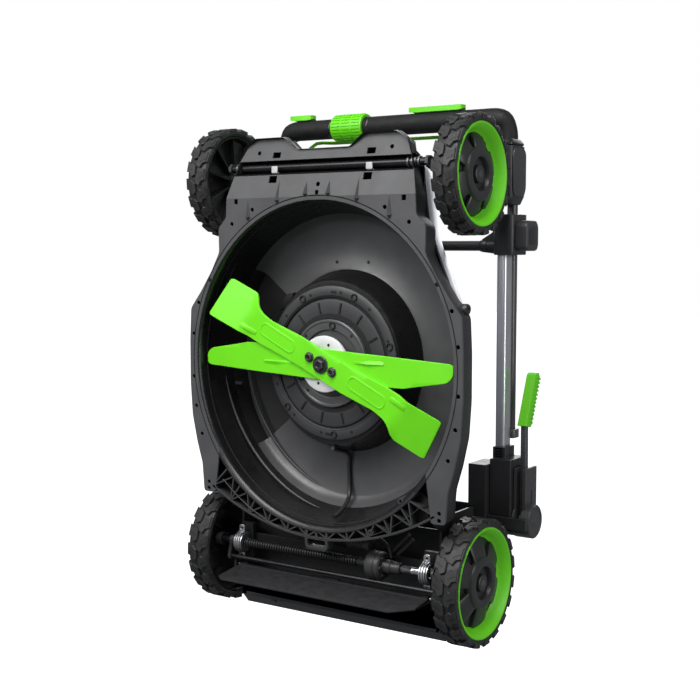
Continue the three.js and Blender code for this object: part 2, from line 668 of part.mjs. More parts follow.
function bailBar() {
  const { y, z, radius, pivotY, pivotZ, x } = BAIL;
  const half = [[238, pivotY, pivotZ], [224, pivotY, pivotZ], [x, pivotY + 8, pivotZ + 10],
    [x - 2, y - 14, z - 18], [x - 12, y, z], [x - 60, y, z], [60, y, z]];
  const other = half.map(([px, py, pz]) => [-px, py, pz]).reverse();
  return sweep([...half, ...other], radius, 7, 40);
}

function speedRing() {
  return turnedX([[BAR.radius + 0.4, -124], [25, -124], [26.5, -116], [26.5, -63], [25, -55],
    [BAR.radius + 0.4, -55]], 1, BAR.y, BAR.z, 28);
}

// A pad on top of the bar, with room below it to be pressed.
function topPad(xRange) {
  const pad = plateXY(roundedRectangle(xRange, [BAR.y - 11, BAR.y + 11], 7), [BAR.z + 16, BAR.z + 29]);
  return cut(pad, rodX(BAR.radius + 3.6, [-300, 300], BAR.y, BAR.z, 32));
}

for (const [name, side] of SIDES) {
  add(`handle_bracket_${name}`, handleBracket(side), 'blackPlastic');
  add(`knuckle_${name}`, knuckle(side), 'blackPlastic');
  add(`lower_tube_${name}`, lowerTube(side), 'aluminium');
  add(`lock_cam_${name}`, lockCam(side), 'greyPlastic');
  add(`upper_rail_${name}`, upperRail(side), 'darkSteel');
  add(`handle_housing_${name}`, handleHousing(side), 'blackPlastic');
}
add('telescope_yoke', telescopeYoke(), 'blackPlastic');
add('handlebar', handlebar(), 'blackPlastic');
add('bail_bar', bailBar(), 'lime');
add('speed_ring', speedRing(), 'lime');
add('drive_paddle', topPad([41, 155]), 'lime');
add('start_button', topPad([-232, -178]), 'lime');

// The origin is on the floor, under the middle of the mower.
const bounds = new THREE.Box3().setFromObject(mower);
const middle = bounds.getCenter(new THREE.Vector3());
mower.position.set(-middle.x, -middle.y, -bounds.min.z);

export default mower;
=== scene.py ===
"""Looks of the push mower, stored upright on its rear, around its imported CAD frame.

Lengths are in millimetres in the mower's own axes: x to its left, y up when it mows, z forward.
y = 0 is the deck's lower rim and z = 0 the drive shaft; Form.make() turns them into the frame's metres.
"""

import json
import math

import bmesh
import bpy
from mathutils import Matrix, Vector

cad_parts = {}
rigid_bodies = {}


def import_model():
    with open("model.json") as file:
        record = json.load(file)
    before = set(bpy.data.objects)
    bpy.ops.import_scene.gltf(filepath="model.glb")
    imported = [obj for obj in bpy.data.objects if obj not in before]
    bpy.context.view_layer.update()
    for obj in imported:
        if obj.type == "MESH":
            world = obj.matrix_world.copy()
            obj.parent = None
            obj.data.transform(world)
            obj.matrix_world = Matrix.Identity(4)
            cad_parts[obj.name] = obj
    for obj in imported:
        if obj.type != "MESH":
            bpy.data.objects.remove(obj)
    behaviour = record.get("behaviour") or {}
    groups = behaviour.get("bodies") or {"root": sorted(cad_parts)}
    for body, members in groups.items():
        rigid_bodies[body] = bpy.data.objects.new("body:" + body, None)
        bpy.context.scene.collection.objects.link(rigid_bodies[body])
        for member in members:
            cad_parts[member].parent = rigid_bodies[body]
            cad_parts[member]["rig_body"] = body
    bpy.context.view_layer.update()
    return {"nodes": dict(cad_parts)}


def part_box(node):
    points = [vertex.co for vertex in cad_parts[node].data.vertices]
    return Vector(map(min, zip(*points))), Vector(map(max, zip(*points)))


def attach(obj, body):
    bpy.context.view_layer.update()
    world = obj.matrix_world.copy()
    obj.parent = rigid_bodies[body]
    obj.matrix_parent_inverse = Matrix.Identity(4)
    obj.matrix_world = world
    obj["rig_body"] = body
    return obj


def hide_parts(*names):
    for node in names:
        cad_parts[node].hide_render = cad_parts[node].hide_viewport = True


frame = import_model()

MM = 0.001
TAU = 2 * math.pi
SIDES = (("left", 1), ("right", -1))

deck_low, deck_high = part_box("deck_shell")
shaft_low, shaft_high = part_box("drive_shaft")
ORIGIN = Vector(((deck_low.x + deck_high.x) / 2, deck_low.y, (shaft_low.z + shaft_high.z) / 2))


def place(point):
    return ORIGIN + Vector(point) * MM


def box_of(node):
    """A CAD node's lowest and highest corner, in the mower's millimetres."""
    return [(corner - ORIGIN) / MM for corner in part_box(node)]


def centre_of(node):
    low, high = box_of(node)
    return (low + high) / 2


# ---- driving dimensions, taken from the frame ----

SPINDLE = centre_of("blade_adapter")
HUB = Vector((0, 0, SPINDLE.z))
CHAMBER_STRETCH = 1.05
MOUTH_RADIUS = 272
FLOOR_RADIUS = 242
FLOOR_Y = 105
HUMP_BASE, HUMP_TOP, HUMP_Y = 156, 141, 50
NOSE_Z, NOSE_RISE = 640, 0.28
DECK_HEIGHT = 38


# ---- camera, light and stage ----

# The camera as fitted to the photo: lens and sensor width, place in the mower's axes, turn in degrees.
LENS, SENSOR = 62.43, 36
CAMERA_PLACE, CAMERA_TURN = (1223.4, -1710.4, 555.2), (85.09, 0, 33.97)

# Name, place, target, size and power of each light, in metres and watts.
LIGHTS = (
    ("key", (-0.9, -2.4, 2.0), (0, 0, 0.5), (2.0, 1.6), 50),
    ("top", (0.2, -1.5, 2.9), (0, 0, 0.45), (2.2, 1.4), 84),
    ("side", (3.0, -0.3, 1.0), (0, 0, 0.45), (1.0, 2.6), 34),
    ("back", (-1.2, 3.2, 1.8), (0, 0, 0.45), (2.6, 2.2), 60),
)
WORLD_FILL = 0.24
FLOOR_HALF, FLOOR_DEPTH = 30.0, -1.25


def make_camera():
    data = bpy.data.cameras.new("camera")
    data.lens = LENS
    data.sensor_width = SENSOR
    camera = bpy.data.objects.new("camera", data)
    camera.location = place(CAMERA_PLACE)
    camera.rotation_euler = [math.radians(angle) for angle in CAMERA_TURN]
    bpy.context.scene.collection.objects.link(camera)
    bpy.context.scene.camera = camera


def area_light(name, location, target, size, power):
    data = bpy.data.lights.new(name, "AREA")
    data.shape = "RECTANGLE"
    data.size, data.size_y = size
    data.energy = power
    lamp = bpy.data.objects.new(name, data)
    lamp.location = location
    lamp.rotation_euler = (Vector(target) - Vector(location)).to_track_quat("-Z", "Y").to_euler()
    bpy.context.scene.collection.objects.link(lamp)


def make_world():
    """White to the camera, a faint cool fill to everything else."""
    world = bpy.data.worlds.new("studio")
    bpy.context.scene.world = world
    world.use_nodes = True
    nodes, links = world.node_tree.nodes, world.node_tree.links
    seen = nodes["Background"]
    seen.inputs["Color"].default_value = (1, 1, 1, 1)
    seen.inputs["Strength"].default_value = 1.0
    fill = nodes.new("ShaderNodeBackground")
    fill.inputs["Color"].default_value = (0.93, 0.96, 1, 1)
    fill.inputs["Strength"].default_value = WORLD_FILL
    path = nodes.new("ShaderNodeLightPath")
    mix = nodes.new("ShaderNodeMixShader")
    links.new(path.outputs["Is Camera Ray"], mix.inputs["Fac"])
    links.new(fill.outputs["Background"], mix.inputs[1])
    links.new(seen.outputs["Background"], mix.inputs[2])
    links.new(mix.outputs["Shader"], nodes["World Output"].inputs["Surface"])
    bpy.context.scene.view_settings.view_transform = "Standard"


def make_floor():
    """A pale floor under the lowest reach of the unfolded handle."""
    mesh = bpy.data.meshes.new("floor")
    corners = [(x * FLOOR_HALF, y * FLOOR_HALF, FLOOR_DEPTH) for x, y in ((-1, -1), (1, -1), (1, 1), (-1, 1))]
    mesh.from_pydata(corners, [], [(0, 1, 2, 3)])
    floor = bpy.data.objects.new("floor", mesh)
    bpy.context.scene.collection.objects.link(floor)
    look = bpy.data.materials.new("floor_white")
    look.use_nodes = True
    shader = look.node_tree.nodes["Principled BSDF"]
    shader.inputs["Base Color"].default_value = (0.9, 0.9, 0.9, 1)
    shader.inputs["Roughness"].default_value = 0.9
    shader.inputs["Emission Color"].default_value = (1, 1, 1, 1)
    shader.inputs["Emission Strength"].default_value = 1.0
    floor.data.materials.append(look)
    floor.visible_glossy = False
    floor.visible_diffuse = False


# ---- materials ----

class Shader:
    """A Principled material whose colour, roughness and bump are built from noise."""

    def __init__(self, name):
        self.material = bpy.data.materials.new(name)
        self.material.use_nodes = True
        self.nodes = self.material.node_tree.nodes
        self.links = self.material.node_tree.links
        self.bsdf = self.nodes["Principled BSDF"]
        self.place = self.nodes.new("ShaderNodeTexCoord").outputs["Object"]

    def set(self, **values):
        for socket, value in values.items():
            self.bsdf.inputs[socket.replace("_", " ")].default_value = value

    def stretched(self, scale):
        mapping = self.nodes.new("ShaderNodeMapping")
        mapping.inputs["Scale"].default_value = scale
        self.links.new(self.place, mapping.inputs["Vector"])
        return mapping.outputs["Vector"]

    def noise(self, scale, detail, vector=None):
        node = self.nodes.new("ShaderNodeTexNoise")
        node.inputs["Scale"].default_value = scale
        node.inputs["Detail"].default_value = detail
        self.links.new(vector or self.place, node.inputs["Vector"])
        return node.outputs["Fac"]

    def cells(self, scale):
        node = self.nodes.new("ShaderNodeTexVoronoi")
        node.inputs["Scale"].default_value = scale
        self.links.new(self.place, node.inputs["Vector"])
        return node.outputs["Distance"]

    def spread(self, value, low, high, start=0.3, end=0.7):
        node = self.nodes.new("ShaderNodeMapRange")
        for socket, number in zip(("From Min", "From Max", "To Min", "To Max"), (start, end, low, high)):
            node.inputs[socket].default_value = number
        self.links.new(value, node.inputs["Value"])
        return node.outputs["Result"]

    def tint(self, factor, colour_a, colour_b):
        ramp = self.nodes.new("ShaderNodeValToRGB")
        ramp.color_ramp.elements[0].position = 0.3
        ramp.color_ramp.elements[1].position = 0.7
        ramp.color_ramp.elements[0].color = (*colour_a, 1)
        ramp.color_ramp.elements[1].color = (*colour_b, 1)
        self.links.new(factor, ramp.inputs["Fac"])
        return ramp.outputs["Color"]

    def bump(self, *heights, strength=0.3, distance=0.0002):
        normal = None
        for height in heights:
            node = self.nodes.new("ShaderNodeBump")
            node.inputs["Strength"].default_value = strength
            node.inputs["Distance"].default_value = distance
            self.links.new(height, node.inputs["Height"])
            if normal:
                self.links.new(normal, node.inputs["Normal"])
            normal = node.outputs["Normal"]
        self.links.new(normal, self.bsdf.inputs["Normal"])

    def wear(self, colour, edge_colour, amount):
        """Lighter along the edges, where hands and grass have rubbed."""
        edge = self.spread(self.nodes.new("ShaderNodeNewGeometry").outputs["Pointiness"], 0, amount, 0.5, 0.6)
        mix = self.nodes.new("ShaderNodeMix")
        mix.data_type = "RGBA"
        mix.inputs["B"].default_value = (*edge_colour, 1)
        self.links.new(edge, mix.inputs["Factor"])
        self.links.new(colour, mix.inputs["A"])
        return mix.outputs["Result"]

    def finish(self, colour, scale, detail, smoothest, roughest):
        """The material, its gloss drifting between two roughnesses."""
        self.links.new(colour, self.bsdf.inputs["Base Color"])
        drift = self.spread(self.noise(scale, detail), smoothest, roughest)
        self.links.new(drift, self.bsdf.inputs["Roughness"])
        return self.material


def shade(colour, factor):
    return tuple(min(1, channel * factor) for channel in colour)


def plastic(name, colour, roughness, grain=2200, relief=0.12):
    """Moulded plastic: a fine spark-eroded grain, soft colour drift and handling marks in the gloss."""
    look = Shader(name)
    look.set(Specular_IOR_Level=0.5)
    colour_drift = look.tint(look.noise(18, 4), shade(colour, 0.86), shade(colour, 1.14))
    worn = look.wear(colour_drift, shade(colour, 1.7), 0.3)
    look.bump(look.cells(grain), look.noise(grain / 3, 2), strength=relief, distance=0.00008)
    return look.finish(worn, 55, 5, roughness - 0.05, roughness + 0.05)


def rubber(name, colour, roughness):
    look = Shader(name)
    look.set(Specular_IOR_Level=0.4)
    dust = look.tint(look.noise(40, 6), shade(colour, 0.8), shade(colour, 1.5))
    worn = look.wear(dust, shade(colour, 2.4), 0.5)
    look.bump(look.noise(900, 4), look.noise(160, 3), strength=0.35, distance=0.0003)
    return look.finish(worn, 80, 4, roughness - 0.08, roughness + 0.08)


def lime(name, colour, roughness, peel, coat):
    """Lime moulding or powder coat: even colour, faint orange peel, a little clear gloss."""
    look = Shader(name)
    look.set(Coat_Weight=coat, Coat_Roughness=0.18, Specular_IOR_Level=0.45)
    even = look.tint(look.noise(14, 3), shade(colour, 0.94), shade(colour, 1.04))
    look.bump(look.noise(peel, 2), look.noise(peel * 3, 2), strength=0.16, distance=0.0002)
    return look.finish(even, 70, 4, roughness - 0.05, roughness + 0.06)


def metal(name, colour, roughness, lines, relief):
    """Drawn or turned metal; lines is the stretch of its drawing marks along x, y and z."""
    look = Shader(name)
    look.set(Metallic=1.0)
    streaks = look.noise(1, 3, look.stretched(lines))
    tone = look.tint(streaks, shade(colour, 0.88), shade(colour, 1.06))
    look.bump(streaks, look.noise(500, 3), strength=relief, distance=0.00008)
    return look.finish(tone, 60, 4, roughness - 0.05, roughness + 0.07)


def coated_steel(name, colour, roughness):
    look = Shader(name)
    look.set(Metallic=0.6, Coat_Weight=0.2, Coat_Roughness=0.25)
    tint = look.tint(look.noise(30, 4), shade(colour, 0.8), shade(colour, 1.25))
    tone = look.wear(tint, (0.4, 0.4, 0.41), 0.35)
    look.bump(look.noise(700, 3), look.noise(120, 2), strength=0.2, distance=0.00015)
    return look.finish(tone, 90, 5, roughness - 0.07, roughness + 0.07)


def silver_moulding(name, colour):
    """Silver moulding: metallic flakes under a satin skin."""
    look = Shader(name)
    look.set(Metallic=0.45, Coat_Weight=0.3, Coat_Roughness=0.3)
    flakes = look.spread(look.cells(2600), 0, 1, 0.0, 0.6)
    tone = look.tint(flakes, shade(colour, 0.9), shade(colour, 1.08))
    look.bump(look.cells(1400), look.noise(300, 2), strength=0.12, distance=0.0001)
    return look.finish(tone, 35, 4, 0.34, 0.44)


def foam(name, colour):
    look = Shader(name)
    look.set(Specular_IOR_Level=0.22)
    pores = look.cells(700)
    tone = look.tint(look.noise(60, 4), shade(colour, 0.8), shade(colour, 1.3))
    look.bump(pores, look.noise(250, 4), strength=0.4, distance=0.0004)
    return look.finish(tone, 45, 4, 0.5, 0.66)


def wound_copper(name):
    look = Shader(name)
    look.set(Metallic=0.9)
    wires = look.noise(1, 2, look.stretched((60, 2200, 60)))
    tone = look.tint(wires, (0.35, 0.13, 0.05), (0.8, 0.38, 0.18))
    look.bump(wires, strength=0.5, distance=0.0005)
    return look.finish(tone, 50, 3, 0.3, 0.45)


LIME = (0.155, 0.72, 0.006)
# Each look: its slot in the model and its material.
LOOKS = {
    "black": ("black_plastic", plastic("black_plastic", (0.018, 0.018, 0.019), 0.42)),
    # Gloss black also serves as painted shade on the chamber wall, the hump and the axle trough.
    "gloss_black": ("black_plastic", plastic("gloss_black_plastic", (0.007, 0.007, 0.0075), 0.3, 1800, 0.03)),
    "dark": ("black_plastic", plastic("dark_grey_plastic", (0.034, 0.034, 0.0355), 0.42)),
    "grey": ("grey_plastic", plastic("grey_plastic", (0.058, 0.058, 0.060), 0.5)),
    # A paler, glossier copy of the grey plastic for the chamber floor and the ring round the blade adapter:
    # painted light.
    "floor": ("grey_plastic", plastic("satin_grey_plastic", (0.075, 0.075, 0.077), 0.33, 1800, 0.04)),
    # A near-black used as painted shade in holes, slots, the chute, inside the deck and behind the lattice,
    # and also for a few small black parts.
    "black_and_painted_shade": ("black_plastic", plastic("black_and_painted_shade_plastic", (0.004, 0.004, 0.004), 0.6, 800, 0.1)),
    "white": ("white_plastic", plastic("white_plastic", (0.62, 0.62, 0.62), 0.42, 1200, 0.1)),
    "tyre": ("tyre_rubber", rubber("tyre_rubber", (0.013, 0.013, 0.0135), 0.5)),
    "skirt": ("skirt_rubber", rubber("skirt_rubber", (0.014, 0.014, 0.015), 0.5)),
    "lime_paint": ("lime_paint", lime("lime_paint", LIME, 0.38, 300, 0.12)),
    "lime": ("lime_plastic", lime("lime_plastic", (0.13, 0.62, 0.005), 0.42, 700, 0.05)),
    "silver": ("silver_shroud", silver_moulding("silver_moulding", (0.33, 0.34, 0.39))),
    "aluminium": ("aluminium", metal("drawn_aluminium", (0.70, 0.71, 0.73), 0.34, (160, 160, 2), 0.01)),
    "steel": ("bright_steel", metal("zinc_plated_steel", (0.62, 0.62, 0.635), 0.33, (20, 160, 160), 0.02)),
    "black_steel": ("dark_steel", coated_steel("black_coated_steel", (0.03, 0.03, 0.032), 0.38)),
    "clip": ("bright_steel", plastic("clip_grey_plastic", (0.45, 0.45, 0.455), 0.4, 900, 0.1)),
    "bolt": ("dark_steel", coated_steel("black_oxide_bolt", (0.02, 0.02, 0.022), 0.3)),
    "foam": ("black_plastic", foam("foam_grip", (0.009, 0.009, 0.0095))),
    "copper": ("copper", wound_copper("wound_copper")),
}


# ---- mesh building ----

def turn(point, axis, angle, centre=(0, 0, 0)):
    """point turned about an axis ('X', 'Y' or 'Z') through centre."""
    centre = Vector(centre)
    return Matrix.Rotation(angle, 3, axis) @ (Vector(point) - centre) + centre


WELD = 0.02  # points closer than this become one


class Form:
    """Points in millimetres and faces, gathered until make() turns them into a piece."""

    def __init__(self, points=(), faces=()):
        self.points = [Vector(point) for point in points]
        self.faces = [tuple(face) for face in faces]

    def add(self, *others):
        for other in others:
            start = len(self.points)
            self.points.extend(point.copy() for point in other.points)
            self.faces.extend(tuple(start + i for i in face) for face in other.faces)
        return self

    def changed(self, rule):
        return Form([rule(point) for point in self.points], self.faces)

    def moved(self, offset):
        return self.changed(lambda point: point + Vector(offset))

    def turned(self, axis, angle, centre=(0, 0, 0)):
        return self.changed(lambda point: turn(point, axis, angle, centre))

    def mirrored(self, side):
        if side > 0:
            return self
        return self.changed(lambda point: Vector((-point.x, point.y, point.z)))

    def both(self):
        """The form and its mirror image on the mower's other side."""
        return joined((self, self.mirrored(-1)))

    def repeated(self, count, axis, centre, start=0.0):
        return joined(self.turned(axis, start + i * TAU / count, centre) for i in range(count))

    def make(self, name, body, look, replaces=None, bevel=0.0, segments=2, sharp=38):
        """The piece, riding a body; sharp is the angle in degrees from which an edge stays an edge."""
        slot, material = LOOKS[look]
        mesh = bpy.data.meshes.new(name)
        mesh.from_pydata([place(point) for point in self.points], [], self.faces)
        work = bmesh.new()
        work.from_mesh(mesh)
        bmesh.ops.remove_doubles(work, verts=work.verts, dist=WELD * MM)
        bmesh.ops.recalc_face_normals(work, faces=work.faces)
        work.to_mesh(mesh)
        work.free()
        piece = bpy.data.objects.new(name, mesh)
        bpy.context.scene.collection.objects.link(piece)
        mesh.materials.append(material)
        mesh.shade_smooth()
        mesh.set_sharp_from_angle(angle=math.radians(sharp))
        if bevel:
            edges = piece.modifiers.new("Edges", "BEVEL")
            edges.width = bevel * MM
            edges.segments = segments
            edges.limit_method = "ANGLE"
            edges.angle_limit = math.radians(sharp)
            edges.harden_normals = True
        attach(piece, body)
        if replaces:
            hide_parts(replaces)

    def dress(self, node, look, **edges):
        """The piece that takes a CAD node's place, on that node's body."""
        self.make(node + "_skin", frame["nodes"][node]["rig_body"], look, node, **edges)


def joined(forms):
    return Form().add(*forms)


def cuboid(x, y, z):
    corners = [(a, b, c) for a in x for b in y for c in z]
    faces = [(0, 1, 3, 2), (4, 6, 7, 5), (0, 4, 5, 1), (2, 3, 7, 6), (0, 2, 6, 4), (1, 5, 7, 3)]
    return Form(corners, faces)


def skin(rings, closed=True, caps=True):
    """A skin through rings of equal point count; closed joins each ring's ends."""
    count = len(rings[0])
    faces = []
    last = count if closed else count - 1
    for r in range(len(rings) - 1):
        for i in range(last):
            a, b = r * count + i, r * count + (i + 1) % count
            faces.append((a, b, b + count, a + count))
    if caps:
        faces.append(tuple(range(count)))
        faces.append(tuple((len(rings) - 1) * count + i for i in reversed(range(count))))
    return Form([point for ring in rings for point in ring], faces)


def lathe(profile, axis="Y", centre=(0, 0, 0), sides=64, stretch=1.0, start=0.0, sweep=TAU):
    """profile is a list of (radius, height along the axis); stretch widens it along z."""
    whole = abs(sweep - TAU) < 1e-6
    rings = []
    for radius, height in profile:
        ring = []
        for i in range(sides if whole else sides + 1):
            angle = start + i / sides * sweep
            c, s = radius * math.cos(angle), radius * math.sin(angle)
            offset = (s, height, c * stretch) if axis == "Y" else (height, c, s)
            ring.append(Vector(centre) + Vector(offset))
        rings.append(ring)
    return skin(rings, closed=whole, caps=False)


def rod(axis, radius, span, across, sides=24):
    """A cylinder along axis over span; across is its centre on the two other axes, in x, y, z order."""
    rings = []
    for height in span:
        ring = []
        for i in range(sides):
            u, v = (radius * f(i / sides * TAU) for f in (math.cos, math.sin))
            u, v = across[0] + u, across[1] + v
            ring.append({"X": (height, u, v), "Y": (u, height, v), "Z": (u, v, height)}[axis])
        rings.append(ring)
    return skin(rings)


def spline(points, per):
    """Catmull-Rom curve through the points, per steps for each stretch."""
    points = [Vector(point) for point in points]
    ends = [2 * points[0] - points[1], *points, 2 * points[-1] - points[-2]]
    curve = []
    for a, b, c, d in zip(ends, ends[1:], ends[2:], ends[3:]):
        for i in range(per):
            t = i / per
            curve.append(0.5 * (2 * b + (c - a) * t + (2 * a - 5 * b + 4 * c - d) * t * t
                                + (3 * b - a - 3 * c + d) * t ** 3))
    return [*curve, points[-1]]


def tube(route, radius, sides=12):
    """A round tube along a route; radius is a number or a rule of the share of the way along."""
    route = [Vector(point) for point in route]
    rule = radius if callable(radius) else (lambda share: radius)
    last = len(route) - 1
    tangents = [(route[min(i + 1, last)] - route[max(i - 1, 0)]).normalized() for i in range(last + 1)]
    normal = tangents[0].orthogonal().normalized()
    rings = []
    for i, (point, tangent) in enumerate(zip(route, tangents)):
        normal = (normal - tangent * normal.dot(tangent)).normalized()
        side = tangent.cross(normal)
        size = rule(i / last)
        rings.append([point + (normal * math.cos(a) + side * math.sin(a)) * size
                      for a in (k / sides * TAU for k in range(sides))])
    return skin(rings)


PLANES = {
    "XZ": lambda u, v, w: (u, w, v),
    "YZ": lambda u, v, w: (w, u, v),
    "XY": lambda u, v, w: (u, v, w),
}


def plate(outline, span, plane="XZ", holes=(), bevel=0.6):
    """A flat plate with holes and rounded edges; span is its thickness across the plane."""
    curve = bpy.data.curves.new("plate", "CURVE")
    curve.dimensions = "2D"
    curve.fill_mode = "BOTH"
    curve.extrude = max(0.01, (span[1] - span[0]) / 2 - bevel)
    curve.bevel_depth = bevel
    curve.bevel_resolution = 1
    for loop in [outline, *holes]:
        line = curve.splines.new("POLY")
        line.points.add(len(loop) - 1)
        for point, (u, v) in zip(line.points, loop):
            point.co = (u, v, 0, 1)
        line.use_cyclic_u = True
    carrier = bpy.data.objects.new("plate", curve)
    bpy.context.scene.collection.objects.link(carrier)
    carrier_now = carrier.evaluated_get(bpy.context.evaluated_depsgraph_get())
    mesh = bpy.data.meshes.new_from_object(carrier_now)
    middle = (span[0] + span[1]) / 2
    points = [PLANES[plane](v.co.x, v.co.y, middle + v.co.z) for v in mesh.vertices]
    form = Form(points, [tuple(face.vertices) for face in mesh.polygons])
    bpy.data.objects.remove(carrier)
    bpy.data.curves.remove(curve)
    bpy.data.meshes.remove(mesh)
    return form


def circle(radius, centre, count, stretch=1.0):
    angles = [i / count * TAU for i in range(count)]
    return [(centre[0] + radius * math.sin(a), centre[1] + stretch * radius * math.cos(a)) for a in angles]


def rounded(u, v, radius, steps=4):
    """A rounded rectangle over the ranges u and v."""
    outline = []
    for quarter, (cu, cv) in enumerate(((u[1] - radius, v[1] - radius), (u[0] + radius, v[1] - radius),
                                        (u[0] + radius, v[0] + radius), (u[1] - radius, v[0] + radius))):
        for i in range(steps + 1):
            angle = (quarter + i / steps) * math.pi / 2
            outline.append((cu + radius * math.cos(angle), cv + radius * math.sin(angle)))
    return outline


def softened(outline, radius, steps=3):
    """The outline with each corner rounded off by about radius."""
    result = []
    count = len(outline)
    for i in range(count):
        before, here, after = (Vector(outline[(i + k) % count]) for k in (-1, 0, 1))
        reach = min(radius, (before - here).length * 0.4, (after - here).length * 0.4)
        start = here + (before - here).normalized() * reach
        end = here + (after - here).normalized() * reach
        for k in range(steps + 1):
            t = k / steps
            result.append(tuple((1 - t) ** 2 * start + 2 * t * (1 - t) * here + t * t * end))
    return result


def mirror_outline(half):
    return [*half, *[(-u, v) for u, v in reversed(half) if abs(u) > 1e-6]]


def soft_block(x, y, z, radius, ends=((0, 0), (0, 0))):
    """A block with rounded upright edges; ends give (depth, inset) of its lower and upper taper."""
    rings = []
    (low_depth, low_inset), (high_depth, high_inset) = ends
    for level, inset in ((z[0], low_inset + 1.2), (z[0] + 1.2, low_inset), (z[0] + max(low_depth, 2), 0),
                         (z[1] - max(high_depth, 2), 0), (z[1] - 1.2, high_inset), (z[1], high_inset + 1.2)):
        outline = rounded((x[0] + inset, x[1] - inset), (y[0] + inset, y[1] - inset),
                          max(0.8, radius - inset * 0.5), 5)
        rings.append([(a, b, level) for a, b in outline])
    return skin(rings)


def screw(point, axis, radius, outwards, height):
    """A pan head with a socket, standing on point and looking along the axis."""
    profile = [(0.01, 0.55 * height), (radius * 0.45, 0.55 * height), (radius * 0.5, height),
               (radius * 0.8, height), (radius, height * 0.6), (radius, 0)]
    return lathe([(r, outwards * h) for r, h in profile], axis, point, 16)


def form_of(work):
    """The Form of a bmesh, which is then freed."""
    work.verts.index_update()
    form = Form([vertex.co.copy() for vertex in work.verts],
                [[vertex.index for vertex in face.verts] for face in work.faces])
    work.free()
    return form


def sliced(form, *cuts):
    """The form with its faces split at each cut (axis number, place on it), so that it can bend there."""
    mesh = bpy.data.meshes.new("sliced")
    mesh.from_pydata(form.points, [], form.faces)
    work = bmesh.new()
    work.from_mesh(mesh)
    bpy.data.meshes.remove(mesh)
    for axis, place_on_axis in cuts:
        normal = Vector([k == axis for k in range(3)])
        bmesh.ops.bisect_plane(work, geom=[*work.verts, *work.edges, *work.faces],
                               plane_co=normal * place_on_axis, plane_no=normal)
    return form_of(work)


def refined(node, look, bevel, sharp=30, segments=2, rule=None, cuts=()):
    """The CAD node's own shape with its edges rounded and its round faces smooth; rule moves its points."""
    work = bmesh.new()
    work.from_mesh(frame["nodes"][node].data)
    bmesh.ops.remove_doubles(work, verts=work.verts, dist=0.01 * MM)
    bmesh.ops.dissolve_limit(work, angle_limit=math.radians(0.8), verts=work.verts, edges=work.edges)
    form = form_of(work).changed(lambda point: (point - ORIGIN) / MM)
    if cuts:
        form = sliced(form, *cuts)
    if rule:
        form = form.changed(rule)
    form.dress(node, look, bevel=bevel, sharp=sharp, segments=segments)


def keep(node, look):
    """A carried-over CAD node in a better material."""
    slots = frame["nodes"][node].data.materials
    slots.clear()
    slots.append(LOOKS[look][1])


make_camera()
for light in LIGHTS:
    area_light(*light)
make_world()
make_floor()


# ---- deck ----

MOUTH_RIM = 5  # width of the rolled rim round the chamber's mouth
ARCH_OUTER = SPINDLE.z - 39
ARCH_SPAN = math.radians(45)


def nose_bend(point):
    """The front plate slopes up from NOSE_Z on."""
    return point + Vector((0, max(0.0, point.z - NOSE_Z) * NOSE_RISE, 0))


def deck_half():
    """Half of the deck's edge, from the nose to the start of the rear arch."""
    return [(0, 724), (56, 724), (84, 747), (150, 747), (172, 733), (190, 676), (199, 640), (200, 606),
            (218, 587), (217, 543), (236, 508), (262, 470), (286, 440), (289, 380), (289, 300), (285, 240),
            (274, 190), (262, 150), (258, 98), (232, 98)]


def arch_point(radius, angle):
    """A point under the spindle, angle from straight back."""
    return radius * math.sin(angle), SPINDLE.z - radius * math.cos(angle)


def arch_outer(angle):
    """The rear arch's radius: it flattens out towards the deck's feet."""
    return ARCH_OUTER + 30 * (angle / ARCH_SPAN) ** 2


def arch_angles(steps):
    return [ARCH_SPAN * (-1 + 2 * i / steps) for i in range(steps + 1)]


def deck_edge():
    arch = [arch_point(ARCH_OUTER, math.radians(degrees)) for degrees in range(44, -1, -4)]
    return mirror_outline([*deck_half(), *arch])


def scaled(outline, factor, centre_z=400):
    return [(x * factor, centre_z + (z - centre_z) * factor) for x, z in outline]


def mouth_point(radius, angle):
    return SPINDLE.x + radius * math.sin(angle), SPINDLE.z + CHAMBER_STRETCH * radius * math.cos(angle)


TROUGH_Z = (682, 706)


def flange_holes(z_range):
    """Bolt holes and clip windows between two heights, mirrored to both sides."""
    round_holes = [(140, 720), (187, 594), (240, 492), (268, 450), (280, 392), (281, 312), (276, 257),
                   (263, 205), (140, 619), (247, 116), (247, 104)]
    windows = [(177, 634, 4.5, 5), (100, 715, 9, 5.5), (100, 672, 9, 6.5)]
    holes = []
    for _, side in SIDES:
        holes += [circle(4.2, (side * x, z), 16) for x, z in round_holes if z_range[0] < z < z_range[1]]
        holes += [[(side * x + a * w, z + b * h) for a, b in ((-1, -1), (1, -1), (1, 1), (-1, 1))]
                  for x, z, w, h in windows if z_range[0] < z < z_range[1]]
    if z_range[0] < 645 < z_range[1]:
        holes += [circle(4.5, (0, 661), 16), [(-4, 643), (4, 643), (4, 651), (-4, 651)]]
    return holes


def deck_flange():
    """The flat lower face: the nose ahead of the axle trough, and the sides round the chamber's mouth."""
    nose = mirror_outline([*softened(deck_half()[:5], 5, 2)[3:], (180.2, TROUGH_Z[1])])
    side = softened([(188.2, TROUGH_Z[0]), *deck_half()[5:]], 5, 2)
    mouth = [mouth_point(MOUTH_RADIUS + MOUTH_RIM * 0.3, math.radians(126 * (1 - i / 30))) for i in range(31)]
    whole = Form()
    for outline, span in ((nose, (TROUGH_Z[1], 760)), (mirror_outline([*side, *mouth]), (0, TROUGH_Z[0]))):
        whole.add(plate(outline, (0.2, 4), "XZ", flange_holes(span), 0.5))
    return sliced(whole, (2, NOSE_Z)).changed(nose_bend)


